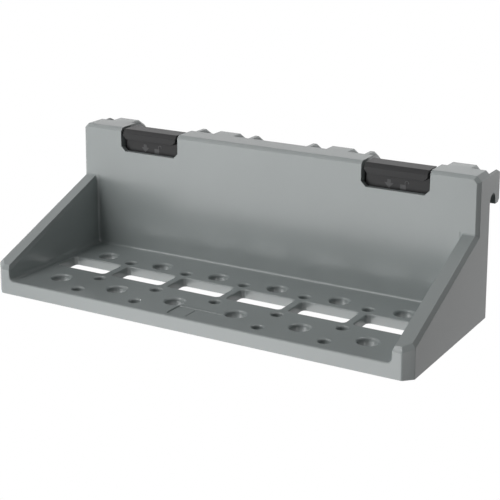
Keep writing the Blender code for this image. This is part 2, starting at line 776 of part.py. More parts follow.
def slider_outline():
    """The slider's body seen from the front, about its own middle: panel and two stop ears."""
    half = CAP_WIDTH / 2
    ear = half + EAR_REACH
    ear_top = POCKET_SHOULDER - GAP
    return [
        (-ear, SLIDER_BOTTOM),
        (ear, SLIDER_BOTTOM),
        (ear, ear_top),
        (half, ear_top),
        (half, CAP_BOTTOM + OVERRUN),
        (-half, CAP_BOTTOM + OVERRUN),
        (-half, ear_top),
        (-ear, ear_top),
    ]


def cap_outline():
    """The thumb cap seen from the side, in Y and Z."""
    return [
        (-PLATE_DEPTH, CAP_BOTTOM),
        (-SLIDER_BACK, CAP_BOTTOM),
        (-SLIDER_BACK, CAP_TOP),
        (-PLATE_DEPTH + CAP_CHAMFER, CAP_TOP),
        (-PLATE_DEPTH, CAP_TOP - CAP_CHAMFER),
    ]


def slider_mesh(parent):
    """A lock's slider: thumb cap, front panel, hollow back, stop ears and two spring pegs."""
    blank = bmesh.new()
    add_prism(blank, slider_outline(), along_y, -SLIDER_FRONT, -SLIDER_BACK)
    item = add_object("slider_blank", finish_mesh(blank, "lock_slider"), parent)

    cap = bmesh.new()
    half = CAP_WIDTH / 2
    add_prism(cap, cap_outline(), along_x, -half, half)
    bmesh.ops.recalc_face_normals(cap, faces=cap.faces)

    def lower_side_edge(edge):
        first, second = edge.verts
        low = near(first.co.z, CAP_BOTTOM) and near(second.co.z, CAP_BOTTOM)
        return low and near(first.co.x, second.co.x)

    bevel_edges(cap, lower_side_edge, CAP_CHAMFER)
    combine(item, cutter("slider_cap", cap, parent), "UNION")

    hollow = bmesh.new()
    inner = half - SLIDER_WALL
    depth = (-SLIDER_FRONT + SLIDER_WALL, 0)
    add_box(hollow, (-inner, inner), depth, (SLIDER_BOTTOM + SLIDER_WALL, CAP_BOTTOM))
    combine(item, cutter("slider_hollow", hollow, parent), "DIFFERENCE")

    ears = bmesh.new()
    ear = half + EAR_REACH
    ear_back = (-SLIDER_FRONT + EAR_DEPTH, 0)
    for side in (-1, 1):
        span = sorted((side * (half + GAP), side * (ear + OVERRUN)))
        add_box(ears, span, ear_back, (SLIDER_BOTTOM - OVERRUN, POCKET_SHOULDER))
    combine(item, cutter("ear_trim", ears, parent), "DIFFERENCE")

    pegs = bmesh.new()
    for side in (-1, 1):
        outline = circle((side * PEG_SPACING / 2, -PEG_ROW), PEG_RADIUS, SMALL_SEGMENTS // 2)
        span = (SLIDER_BOTTOM - PEG_LENGTH, SLIDER_BOTTOM + SLIDER_WALL / 2)
        add_prism(pegs, outline, along_z, *span)
    combine(item, cutter("slider_pegs", pegs, parent), "UNION")
    return item


def spring_curve():
    """A compression spring that stands on its own middle line, from the pocket floor to the slider."""
    bottom = POCKET_FLOOR + GAP + SPRING_WIRE / 2
    top = SLIDER_BOTTOM - GAP - SPRING_WIRE / 2
    steps = SPRING_TURNS * SPRING_TURN_POINTS
    data = bpy.data.curves.new("lock_spring", "CURVE")
    data.dimensions = "3D"
    data.bevel_depth = SPRING_WIRE / 2
    data.bevel_resolution = 1
    data.use_fill_caps = True
    spline = data.splines.new("POLY")
    spline.points.add(steps)
    for step, point in enumerate(spline.points):
        share = step / steps
        angle = 2 * math.pi * SPRING_TURNS * share
        x = SPRING_RADIUS * math.cos(angle)
        y = SPRING_RADIUS * math.sin(angle)
        point.co = (x, y, bottom + (top - bottom) * share, 1)
    report_spring_gap(spline)
    return data


def report_spring_gap(spline):
    """Print the least gap between one turn of the spring's wire and the next, in millimetres."""
    points = [point.co.to_3d() for point in spline.points]
    apart = SPRING_TURN_POINTS // 2
    pairs = [(a, b) for i, a in enumerate(points) for b in points[i + apart :]]
    least = min((a - b).length for a, b in pairs) - SPRING_WIRE
    print(f"spring least gap {least * 1000:.2f} mm")


def retainer_outline():
    """The retainer seen from behind: a wide screwed flange and a tongue up behind the slider."""
    wide = RETAINER_FLANGE_WIDTH / 2
    narrow = NOTCH_WIDTH / 2 - GAP
    return [
        (-wide, RETAINER_FLANGE_BOTTOM),
        (wide, RETAINER_FLANGE_BOTTOM),
        (wide, RETAINER_FLANGE_TOP),
        (narrow, RETAINER_FLANGE_TOP),
        (narrow, RETAINER_TOP),
        (-narrow, RETAINER_TOP),
        (-narrow, RETAINER_FLANGE_TOP),
        (-wide, RETAINER_FLANGE_TOP),
    ]


def retainer_mesh(parent):
    """The plate that closes a lock's pocket at the back."""
    shape = bmesh.new()
    span = (-RETAINER_FRONT, -RETAINER_FRONT + RETAINER_THICKNESS)
    add_prism(shape, retainer_outline(), along_y, *span)
    item = add_object("retainer_blank", finish_mesh(shape, "lock_retainer"), parent)
    holes = bmesh.new()
    for side in (-1, 1):
        middle = (side * SCREW_SPACING / 2, SCREW_HEIGHT)
        outline = circle(middle, SCREW_RADIUS + SCREW_HOLE_CLEARANCE, SMALL_SEGMENTS // 2)
        add_prism(holes, outline, along_y, span[0] - OVERRUN, span[1] + OVERRUN)
    combine(item, cutter("retainer_holes", holes, parent), "DIFFERENCE")
    return item


def screw_mesh():
    """A pan-head screw along Y, with its seat at y = 0 and its tip in front."""
    shape = bmesh.new()
    tip = -SCREW_LENGTH
    taper = tip + 2 * SCREW_RADIUS
    shoulder = SCREW_HEAD_HEIGHT / 2
    rings = [
        (SCREW_RADIUS * SCREW_TIP_SHARE, tip),
        (SCREW_RADIUS, taper),
        (SCREW_RADIUS, 0),
        (SCREW_HEAD_RADIUS, 0),
        (SCREW_HEAD_RADIUS, shoulder),
        (SCREW_HEAD_RADIUS * SCREW_CROWN_SHARE, SCREW_HEAD_HEIGHT),
    ]
    points = [[(a, y, b) for a, b in circle((0, 0), radius, SMALL_SEGMENTS // 2)] for radius, y in rings]
    add_loft(shape, points)
    return finish_mesh(shape, "lock_screw")


def baked(item):
    """A mesh with an object's modifiers worked out, after which the object is removed."""
    bpy.context.view_layer.update()
    graph = bpy.context.evaluated_depsgraph_get()
    mesh = bpy.data.meshes.new_from_object(item.evaluated_get(graph))
    mesh.name = item.data.name
    bpy.data.objects.remove(item, do_unlink=True)
    return mesh


def dress(mesh, material):
    """Give a mesh its material, and smooth shading on its round parts."""
    mesh.materials.clear()
    mesh.materials.append(material)
    mesh.shade_smooth()
    mesh.set_sharp_from_angle(angle=math.radians(30))


def rail_locks(parent, slider_material, spring_material, screw_material):
    """Both rail locks: a slider, two springs, a retainer and two screws each."""
    slider = baked(slider_mesh(parent))
    retainer = baked(retainer_mesh(parent))
    screw = screw_mesh()
    spring = spring_curve()
    dress(slider, slider_material)
    dress(retainer, slider_material)
    dress(screw, screw_material)
    spring.materials.append(spring_material)
    screw_seat = -RETAINER_FRONT + RETAINER_THICKNESS + GAP
    for side_name, side in (("left", -1), ("right", 1)):
        centre = side * LOCK_PLACE
        add_object(f"lock_slider_{side_name}", slider, parent, (centre, 0, 0))
        add_object(f"lock_retainer_{side_name}", retainer, parent, (centre, 0, 0))
        for mate_name, mate in (("outer", side), ("inner", -side)):
            spring_x = centre + mate * PEG_SPACING / 2
            add_object(f"lock_spring_{side_name}_{mate_name}", spring, parent, (spring_x, -PEG_ROW, 0))
            screw_place = (centre + mate * SCREW_SPACING / 2, screw_seat, SCREW_HEIGHT)
            add_object(f"lock_screw_{side_name}_{mate_name}", screw, parent, screw_place)


def main():
    """Build the whole rack."""
    clear_scene()
    origin = bpy.data.objects.new("rack_origin", None)
    bpy.context.scene.collection.objects.link(origin)
    origin.location = (0, BACK_FACE_Y, 0)
    grey = plastic("rack_grey_plastic", (0.33, 0.35, 0.345), 0.5)
    black = plastic("lock_black_plastic", (0.035, 0.035, 0.037), 0.45)
    wire = steel("spring_steel", (0.55, 0.55, 0.55), 0.3)
    zinc = steel("zinc_plated_steel", (0.62, 0.62, 0.6), 0.35)
    body = rack_body(origin, grey)
    body.data.shade_smooth()
    body.data.set_sharp_from_angle(angle=math.radians(30))
    rail_locks(origin, black, wire, zinc)


main()
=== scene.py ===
"""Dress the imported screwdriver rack: finer mouldings, finishes, studio light and camera.

The rack is one grey moulding with a bored shelf, a back plate and rail hooks. Two dark rail locks
slide in its plate, each with two springs, a retainer plate and two screws behind it. Every piece is
modelled in place over the CAD frame, in metres, with the front towards -Y and the shelf on z = 0.
"""

import logging
import math
from collections.abc import Callable, Iterable
from dataclasses import dataclass, field
from enum import Enum

import bmesh
import bpy
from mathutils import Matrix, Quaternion, Vector

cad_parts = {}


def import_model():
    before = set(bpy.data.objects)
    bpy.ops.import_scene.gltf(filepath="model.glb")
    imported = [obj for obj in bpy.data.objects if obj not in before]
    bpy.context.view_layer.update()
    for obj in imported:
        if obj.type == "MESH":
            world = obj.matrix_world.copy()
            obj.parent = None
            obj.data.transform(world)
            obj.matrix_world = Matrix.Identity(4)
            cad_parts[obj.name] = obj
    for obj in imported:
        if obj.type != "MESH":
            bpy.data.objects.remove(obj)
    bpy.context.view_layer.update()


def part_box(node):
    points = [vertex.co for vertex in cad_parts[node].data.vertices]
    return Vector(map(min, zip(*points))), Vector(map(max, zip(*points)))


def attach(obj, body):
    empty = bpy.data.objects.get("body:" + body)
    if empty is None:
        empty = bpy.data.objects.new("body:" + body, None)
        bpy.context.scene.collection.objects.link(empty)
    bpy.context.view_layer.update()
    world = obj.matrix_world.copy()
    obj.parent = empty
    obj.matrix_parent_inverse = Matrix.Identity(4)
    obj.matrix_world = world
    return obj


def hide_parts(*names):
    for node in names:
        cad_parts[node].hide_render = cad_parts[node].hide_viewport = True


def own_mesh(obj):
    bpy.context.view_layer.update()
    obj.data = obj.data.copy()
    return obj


TOUCH = 2e-5  # lengths closer than this are one place
MERGE = TOUCH / 4  # corners closer than this become one
GAP = 0.0003  # room between pieces that touch
OVERRUN = 0.002  # how far a cutter or a root runs past its face
FLAT_ANGLE = 0.0001  # faces bent further than this are split before a cut
LEVEL_ANGLE = math.radians(0.2)  # edges bent less than this are dissolved
ROUND_PROFILE = 0.5  # a bevel's profile where it is a circle's
FACING = 0.9  # a normal's share along an axis from which its face looks that way
LEANING = 0.3  # the same for a face that only leans that way
ASKEW = 0.1  # a normal's share along an axis up to which its face doesn't lean that way
FLAT_WEIGHT = 80  # how much a large face outweighs the rounds beside it in the shading
X, Y = 0, 1

Place = tuple[float, float]
Point = tuple[float, float, float]
Colour = tuple[float, float, float]
ORIGIN: Point = (0, 0, 0)
LYING: Point = (math.pi / 2, 0, 0)
BODY_GREY: Colour = (0.332, 0.362, 0.361)
LOCK_BLACK: Colour = (0.028, 0.028, 0.029)
MARK_GREY: Colour = (0.085, 0.085, 0.088)
WIRE_STEEL: Colour = (0.50, 0.50, 0.51)
ZINC_STEEL: Colour = (0.62, 0.62, 0.60)
DARK_SPECULAR = 0.16
DARK_ROUGHNESS = 0.35
log = logging.getLogger("rack")


def near(value: float, target: float) -> bool:
    """Whether two lengths are the same place."""
    return abs(value - target) < TOUCH


def both(test: Callable[[Vector], bool]) -> Callable[[Vector, Vector], bool]:
    """An edge test that holds where both ends pass a point test."""
    return lambda a, b: test(a) and test(b)


def level(height: float, axis: int) -> Callable[[Vector, Vector], bool]:
    """An edge test: both ends at a height, and at the same place along an axis."""
    return lambda a, b: near(a.z, height) and near(b.z, height) and near(a[axis], b[axis])


class Pick(Enum):
    """What a selection in edit mode is made of."""

    CORNERS = "VERT"
    EDGES = "EDGE"
    FACES = "FACE"


class Side(Enum):
    """The two halves of the rack, as signs along X."""

    LEFT = -1
    RIGHT = 1


class Workpiece:
    """A mesh on the bench: parts of it are picked by place and shaped by operators."""

    def __init__(self, item: bpy.types.Object) -> None:
        """Take an object onto the bench."""
        self.item = item

    @staticmethod
    def put_down() -> None:
        """Leave edit mode, with nothing selected."""
        if bpy.context.mode == "EDIT_MESH":
            bpy.ops.object.mode_set(mode="OBJECT")
        bpy.ops.object.select_all(action="DESELECT")

    @classmethod
    def fresh(cls, name: str) -> "Workpiece":
        """Take the primitive that was just added, with its place put into its mesh.

        Args:
            name: The piece's name.

        Returns:
            The piece on the bench.
        """
        bpy.ops.object.transform_apply(location=True, rotation=True, scale=True)
        item = bpy.context.object
        item.name = item.data.name = name
        return cls(item)

    @classmethod
    def block(cls, name: str, low: Point, high: Point) -> "Workpiece":
        """Start from a block between two corners.

        Args:
            name: The piece's name.
            low: Its lowest corner.
            high: Its highest corner.

        Returns:
            The block on the bench.
        """
        cls.put_down()
        middle = [(a + b) / 2 for a, b in zip(low, high)]
        size = [b - a for a, b in zip(low, high)]
        bpy.ops.mesh.primitive_cube_add(size=1.0, location=middle)
        bpy.context.object.scale = size
        return cls.fresh(name)

    @classmethod
    def rod(
        cls, name: str, middle: Point, radius: float, length: float, sides: int, turn: Point = ORIGIN
    ) -> "Workpiece":
        """Start from a round rod.

        Args:
            name: The piece's name.
            middle: Its middle point.
            radius: Its radius.
            length: Its length along its axis, which is Z before the turn.
            sides: How many flat sides it has round it.
            turn: Its turn about X, Y and Z, in radians.

        Returns:
            The rod on the bench.
        """
        cls.put_down()
        bpy.ops.mesh.primitive_cylinder_add(
            vertices=sides, radius=radius, depth=length, location=middle, rotation=turn
        )
        return cls.fresh(name)

    @classmethod
    def ring(cls, name: str, middle: Point, radius: float, sides: int) -> "Workpiece":
        """Start from a wire ring that faces along Y.

        Args:
            name: The piece's name.
            middle: Its middle point.
            radius: Its radius.
            sides: How many corners it has.

        Returns:
            The ring on the bench.
        """
        cls.put_down()
        bpy.ops.mesh.primitive_circle_add(vertices=sides, radius=radius, location=middle, rotation=LYING)
        return cls.fresh(name)

    def wind(self, turns: int, rise: float, steps: int) -> "Workpiece":
        """Wind a wire ring round the Z axis into a coil and close its ends.

        Args:
            turns: How many turns the coil has.
            rise: How far each turn climbs.
            steps: How many steps each turn has.

        Returns:
            The coil, in object mode.
        """
        settings = {"steps": steps, "render_steps": steps, "iterations": turns, "screw_offset": rise}
        self.apply("SCREW", axis="Z", angle=math.tau, use_smooth_shade=False, **settings)
        self.everything()
        bpy.ops.mesh.fill_holes(sides=0)
        bpy.ops.mesh.normals_make_consistent(inside=False)
        self.close()
        return self

    def open(self) -> None:
        """Go into edit mode on this piece alone."""
        if bpy.context.mode == "EDIT_MESH" and bpy.context.object == self.item:
            return
        self.close()
        bpy.ops.object.mode_set(mode="EDIT")

    def close(self) -> None:
        """Go back to object mode, with this piece selected and active."""
        self.put_down()
        bpy.context.view_layer.objects.active = self.item
        self.item.select_set(True)

    def pick(self, kind: Pick, test: Callable[..., bool]) -> "Workpiece":
        """Select corners, edges or faces by their place.

        Args:
            kind: What to select.
            test: Says whether to select a corner by its point, an edge by its two points, or a face
                by its middle and its normal.

        Returns:
            This piece, in edit mode.
        """
        self.open()
        bpy.ops.mesh.select_mode(type=kind.value)
        bpy.ops.mesh.select_all(action="DESELECT")
        mesh = bmesh.from_edit_mesh(self.item.data)
        if kind is Pick.CORNERS:
            chosen = [v for v in mesh.verts if test(v.co)]
        elif kind is Pick.EDGES:
            chosen = [e for e in mesh.edges if test(e.verts[0].co, e.verts[1].co)]
        else:
            chosen = [f for f in mesh.faces if test(f.calc_center_median(), f.normal)]
        if not chosen:
            raise ValueError(f"{self.item.name}: nothing picked among its {kind.name.lower()}")
        for part in chosen:
            part.select_set(True)
        bmesh.update_edit_mesh(self.item.data)
        return self

    def outline(self) -> "Workpiece":
        """Swap the picked faces for the edges round them."""
        bpy.ops.mesh.region_to_loop()
        return self

    def everything(self) -> "Workpiece":
        """Select the whole mesh.

        Returns:
            This piece, in edit mode.
        """
        self.open()
        bpy.ops.mesh.select_all(action="SELECT")
        return self

    def extrude(self, move: Point) -> "Workpiece":
        """Extrude what is picked."""
        bpy.ops.mesh.extrude_region_move(TRANSFORM_OT_translate={"value": move})
        return self

    def bevel(self, width: float, segments: int = 1) -> "Workpiece":
        """Bevel the picked edges.

        Args:
            width: How far the bevel reaches along the faces.
            segments: 1 for a chamfer, or more for a round.

        Returns:
            This piece, in edit mode.
        """
        settings = {"offset_type": "OFFSET", "affect": "EDGES", "clamp_overlap": False}
        bpy.ops.mesh.bevel(offset=width, segments=segments, profile=ROUND_PROFILE, **settings)
        return self

    def shift(self, move: Point) -> "Workpiece":
        """Move what is picked."""
        bpy.ops.transform.translate(value=move)
        return self

    def stretch(self, scale: Point, centre: Point) -> "Workpiece":
        """Scale what is picked about a point."""
        bpy.ops.transform.resize(value=scale, center_override=centre)
        return self

    def turn(self, angle: float, axis: str) -> "Workpiece":
        """Turn what is picked about an axis through the origin."""
        bpy.ops.transform.rotate(value=angle, orient_axis=axis, orient_type="GLOBAL", center_override=ORIGIN)
        return self

    def split(self, place: Point, normal: Point, trim: bool = False) -> "Workpiece":
        """Cut the whole mesh along a plane.

        Args:
            place: A point of the plane.
            normal: The plane's normal.
            trim: Whether what lies beyond the plane goes, and the cut is closed.

        Returns:
            This piece, in edit mode.
        """
        self.everything()
        slant = Vector(normal).normalized()
        bpy.ops.mesh.bisect(plane_co=place, plane_no=slant, clear_outer=trim, use_fill=trim)
        return self

    def apply(self, kind: str, **settings: object) -> "Workpiece":
        """Add a modifier with its settings and apply it.

        Args:
            kind: The modifier's type.
            settings: Its settings by name.

        Returns:
            This piece, in object mode.
        """
        self.close()
        modifier = self.item.modifiers.new(kind.title(), kind)
        for name, value in settings.items():
            setattr(modifier, name, value)
        bpy.ops.object.modifier_apply(modifier=modifier.name)
        return self

    def combine(self, tool: "Workpiece", operation: str) -> "Workpiece":
        """Join, cut or intersect with another piece, and put that piece away.

        Args:
            tool: The other piece.
            operation: UNION, DIFFERENCE or INTERSECT.

        Returns:
            This piece, in object mode.
        """
        tool.everything()
        bpy.ops.mesh.vert_connect_nonplanar(angle_limit=FLAT_ANGLE)
        self.apply("BOOLEAN", operation=operation, solver="MANIFOLD", object=tool.item)
        bpy.data.objects.remove(tool.item, do_unlink=True)
        return self

    def cut(self, tool: "Workpiece") -> "Workpiece":
        """Cut another piece away from this one."""
        return self.combine(tool, "DIFFERENCE")

    def weld(self, tool: "Workpiece") -> "Workpiece":
        """Join another piece to this one as one solid."""
        return self.combine(tool, "UNION")

    def soften(self, width: float, segments: int = 2, angle: float = 20.0) -> "Workpiece":
        """Round every sharp edge.

        Args:
            width: How far the round reaches along the faces.
            segments: How many steps it has.
            angle: The angle in degrees from which an edge counts as sharp.

        Returns:
            This piece, in object mode.
        """
        shape = {"width": width, "segments": segments, "miter_outer": "MITER_SHARP"}
        limit = {"limit_method": "ANGLE", "angle_limit": math.radians(angle)}
        return self.apply("BEVEL", use_clamp_overlap=False, **shape, **limit)

    def copy(self, name: str, move: Point = ORIGIN) -> "Workpiece":
        """Copy this piece with a mesh of its own.

        Args:
            name: The copy's name.
            move: How far the copy lies from this piece.

        Returns:
            The copy on the bench.
        """
        self.close()
        bpy.ops.object.duplicate(linked=False)
        made = Workpiece(bpy.context.object)
        made.item.name = made.item.data.name = name
        if any(move):
            made.everything().shift(move).close()
        return made

    def gather(self, others: Iterable["Workpiece"]) -> "Workpiece":
        """Take other pieces into this one's mesh.

        Args:
            others: The pieces to take in.

        Returns:
            This piece, in object mode.
        """
        pieces = list(others)
        self.close()
        for piece in pieces:
            piece.item.select_set(True)
        bpy.ops.object.join()
        return self

    def repeat(self, places: Iterable[Place]) -> "Workpiece":
        """Copy this piece to more places and take the copies in.

        Args:
            places: Places along X and Y, of which this piece has the first.

        Returns:
            All of them as one, in object mode.
        """
        first, *others = places
        name = f"{self.item.name}_copy"
        return self.gather([self.copy(name, (x - first[0], y - first[1], 0)) for x, y in others])

    def clean(self) -> "Workpiece":
        """Merge doubled corners, dissolve edges inside flat faces and point the faces out.

        Returns:
            This piece, in object mode.
        """
        self.everything()
        bpy.ops.mesh.remove_doubles(threshold=MERGE)
        bpy.ops.mesh.select_all(action="SELECT")
        bpy.ops.mesh.dissolve_limited(angle_limit=LEVEL_ANGLE)
        bpy.ops.mesh.select_all(action="SELECT")
        bpy.ops.mesh.delete_loose()
        bpy.ops.mesh.select_all(action="SELECT")
        bpy.ops.mesh.normals_make_consistent(inside=False)
        self.close()
        return self

    def finish(
        self, finish: "Finish", body: str, slot: str, replaces: Iterable[str] = (), sharp: float = 25.0
    ) -> None:
        """Shade and dress the finished piece, and tie it to the frame.

        Args:
            finish: What it is made of.
            body: The CAD body it moves with.
            slot: Not used.
            replaces: The CAD nodes it stands for.
            sharp: The angle in degrees from which an edge stays sharp.
        """
        self.close()
        bpy.ops.object.shade_smooth_by_angle(angle=math.radians(sharp))
        self.apply("WEIGHTED_NORMAL", keep_sharp=True, weight=FLAT_WEIGHT)
        self.item.data.materials.clear()
        self.item.data.materials.append(finish.material)
        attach(self.item, body)
        nodes = tuple(replaces)
        if nodes:
            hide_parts(*nodes)
        log.info("%s: %d faces on body %s", self.item.name, len(self.item.data.polygons), body)


class Finish:
    """A surface finish with one node material, shared by the pieces that have it."""

    NOISE_RANGE = (0.3, 0.7)

    def __init__(self, name: str) -> None:
        """Make the empty node material.

        Args:
            name: The material's name.
        """
        self.material = bpy.data.materials.new(name)
        self.material.use_nodes = True
        self.nodes = self.material.node_tree.nodes
        self.links = self.material.node_tree.links
        self.shader = self.nodes["Principled BSDF"]
        self.coordinates = self.nodes.new("ShaderNodeTexCoord")

    def noise(self, scale: float, detail: float, stretch: Point = (1, 1, 1)) -> bpy.types.NodeSocket:
        """Add a noise on Object coordinates.

        Args:
            scale: Waves per metre.
            detail: How many finer layers it has.
            stretch: How much tighter it is along X, Y and Z.

        Returns:
            The noise's value.
        """
        place = self.nodes.new("ShaderNodeMapping")
        place.inputs["Scale"].default_value = stretch
        noise = self.nodes.new("ShaderNodeTexNoise")
        noise.inputs["Scale"].default_value = scale
        noise.inputs["Detail"].default_value = detail
        self.links.new(self.coordinates.outputs["Object"], place.inputs["Vector"])
        self.links.new(place.outputs["Vector"], noise.inputs["Vector"])
        return noise.outputs["Fac"]

    def spread(self, value: bpy.types.NodeSocket, low: float, high: float) -> bpy.types.NodeSocket:
        """Spread a noise's middle range over other limits.

        Args:
            value: The noise's value.
            low: What its low end becomes.
            high: What its high end becomes.

        Returns:
            The new value.
        """
        ramp = self.nodes.new("ShaderNodeMapRange")
        ramp.inputs["From Min"].default_value, ramp.inputs["From Max"].default_value = self.NOISE_RANGE
        ramp.inputs["To Min"].default_value = low
        ramp.inputs["To Max"].default_value = high
        self.links.new(value, ramp.inputs["Value"])
        return ramp.outputs["Result"]

    def tint(self, value: bpy.types.NodeSocket, colour: Colour, drift: float) -> None:
        """Let the base colour drift about a tone.

        Args:
            value: The noise that it drifts with.
            colour: The tone.
            drift: How much darker and lighter it gets, as a share.
        """
        mix = self.nodes.new("ShaderNodeMix")
        mix.data_type = "RGBA"
        for name, share in (("A", 1 - drift), ("B", 1 + drift)):
            mix.inputs[name].default_value = (*(part * share for part in colour), 1.0)
        self.links.new(self.spread(value, 0.0, 1.0), mix.inputs["Factor"])
        self.links.new(mix.outputs["Result"], self.shader.inputs["Base Color"])

    def roughen(self, value: bpy.types.NodeSocket, middle: float, drift: float) -> None:
        """Let the roughness drift with a noise, to each side of a middle value."""
        rough = self.spread(value, middle - drift, middle + drift)
        self.links.new(rough, self.shader.inputs["Roughness"])

    def bumps(self, layers: Iterable[tuple[bpy.types.NodeSocket, float]]) -> None:
        """Chain bumps of several heights into the normal.

        Args:
            layers: Each layer's height value and its depth in metres.
        """
        normal = None
        for height, depth in layers:
            bump = self.nodes.new("ShaderNodeBump")
            bump.inputs["Distance"].default_value = depth
            self.links.new(height, bump.inputs["Height"])
            if normal:
                self.links.new(normal, bump.inputs["Normal"])
            normal = bump.outputs["Normal"]
        self.links.new(normal, self.shader.inputs["Normal"])


@dataclass(frozen=True)
class MouldedPlastic:
    """A moulded plastic with a fine eroded grain, slight flow and slight drift of tone."""

    name: str
    colour: Colour
    drift: float = 0.02
    specular: float = 0.50
    roughness: float = 0.21
    roughness_drift: float = 0.04
    grain_waves: float = 1700.0
    grain_depth: float = 0.00005
    grain_layers: float = 2.0
    flow_waves: float = 14.0
    flow_depth: float = 0.00008
    flow_layers: float = 3.0

    def make(self) -> Finish:
        """Build the material.

        Returns:
            The finish with its nodes linked.
        """
        finish = Finish(self.name)
        finish.shader.inputs["Specular IOR Level"].default_value = self.specular
        cloud = finish.noise(self.flow_waves, self.flow_layers)
        grain = finish.noise(self.grain_waves, self.grain_layers)
        finish.tint(cloud, self.colour, self.drift)
        finish.roughen(grain, self.roughness, self.roughness_drift)
        finish.bumps([(cloud, self.flow_depth), (grain, self.grain_depth)])
        return finish


@dataclass(frozen=True)
class WorkedSteel:
    """A drawn or plated steel with fine lines along its working and clouded plating."""

    name: str
    colour: Colour
    drift: float = 0.08
    roughness: float = 0.3
    roughness_drift: float = 0.07
    cloud_waves: float = 150.0
    cloud_layers: float = 2.0
    line_waves: float = 900.0
    line_layers: float = 3.0
    line_stretch: Point = (0.2, 1.0, 1.0)
    line_depth: float = 0.00002

    def make(self) -> Finish:
        """Build the material.

        Returns:
            The finish with its nodes linked.
        """
        finish = Finish(self.name)
        finish.shader.inputs["Metallic"].default_value = 1.0
        lines = finish.noise(self.line_waves, self.line_layers, self.line_stretch)
        cloud = finish.noise(self.cloud_waves, self.cloud_layers)
        finish.tint(cloud, self.colour, self.drift)
        finish.roughen(cloud, self.roughness, self.roughness_drift)
        finish.bumps([(lines, self.line_depth)])
        return finish


@dataclass(frozen=True)
class LabelField:
    """The bare field on the shelf."""

    width: float = 0.0430
    reach: float = 0.0200
    depth: float = 0.0009
    corner: float = 0.0020
    corner_steps: int = 5
    divider: float = -0.0040
    groove: float = 0.0008


@dataclass(frozen=True)
class ShelfPattern:
    """The bores and slots of the shelf; rows are counted forwards from the plate's back."""

    pitch: float = 0.05988
    large_count: int = 6
    large_radius: float = 0.0082
    large_round: float = 0.0022
    bore_sides: int = 56
    large_rows: tuple[float, ...] = (0.0551, 0.1263)
    small_radius: float = 0.0046
    small_round: float = 0.0017
    small_rows: tuple[float, ...] = (0.0616, 0.1102, 0.1426)
    slot_row: float = 0.0851
    slot_width: float = 0.0524
    slot_depth: float = 0.0280
    slot_corner: float = 0.0040
    corner_steps: int = 7
    slot_round: float = 0.0013
    collar_wall: float = 0.0024
    collar_sides: int = 40
    collar_bottom: float = 0.0043
    rib_bottom: float = 0.0050
    hollow_round: float = 0.0010
    hollow_steps: int = 3
    label: LabelField = LabelField()


@dataclass(frozen=True)
class LockSeat:
    """The places of one rail lock in the plate, along X from the rack's middle and up from its base.

    The peg depth is how far the springs' row lies in from the plate's back.
    """

    place: float = 0.1231
    notch_half: float = 0.0310
    notch_bottom: float = 0.1060
    notch_chamfer: float = 0.0045
    wall: float = 0.0050
    pocket_half: float = 0.0350
    shoulder: float = 0.0955
    floor: float = 0.0641
    flange_half: float = 0.0430
    flange_bottom: float = 0.0601
    flange_top: float = 0.0958
    seat_depth: float = 0.0044
    block_half: float = 0.0460
    screw_spacing: float = 0.0780
    screw_height: float = 0.0779
    screw_hole: float = 0.0019
    screw_reach: float = 0.0157
    peg_spacing: float = 0.0320
    peg_radius: float = 0.0022
    peg_round_share: float = 1 / 3
    peg_length: float = 0.0060
    peg_depth: float = 0.0118
    round_sides: int = 24
    peg_steps: int = 2

    def peg_row(self, back: float) -> float:
        """Where the spring pegs are along Y."""
        return back - self.peg_depth

    def peg(self, name: str, foot: Point, way: int) -> Workpiece:
        """Model a peg that centres a spring, rooted in what carries it and rounded at its tip.

        Args:
            name: The peg's name.
            foot: The middle of its foot.
            way: 1 where it stands up, or -1 where it hangs down.

        Returns:
            The peg.
        """
        x, y, z = foot
        tip = z + way * self.peg_length
        middle = (x, y, z + way * (self.peg_length - OVERRUN) / 2)
        length = self.peg_length + OVERRUN
        peg = Workpiece.rod(name, middle, self.peg_radius, length, self.round_sides)
        peg.pick(Pick.EDGES, both(lambda p: near(p.z, tip)))
        return peg.bevel(self.peg_radius * self.peg_round_share, self.peg_steps)


@dataclass(frozen=True)
class RailHook:
    """The rail hooks at the plate's back, each an arm with a nose and a leg beyond a round-topped slot."""

    reach: float = 0.0215
    height: float = 0.0309
    foot_chamfer: float = 0.0027
    nose_drop: float = 0.0057
    top_length: float = 0.0123
    slot_width: float = 0.0127
    slot_drop: float = 0.0204
    slot_steps: int = 8
    side_chamfer: float = 0.0035
    wide: float = 0.0276
    wide_places: tuple[float, ...] = (0.05735, 0.1697)
    narrow: float = 0.0105
    narrow_places: tuple[float, ...] = (0.0295, 0.0852)
    end_width: float = 0.0054
    end_drop: float = 0.0027


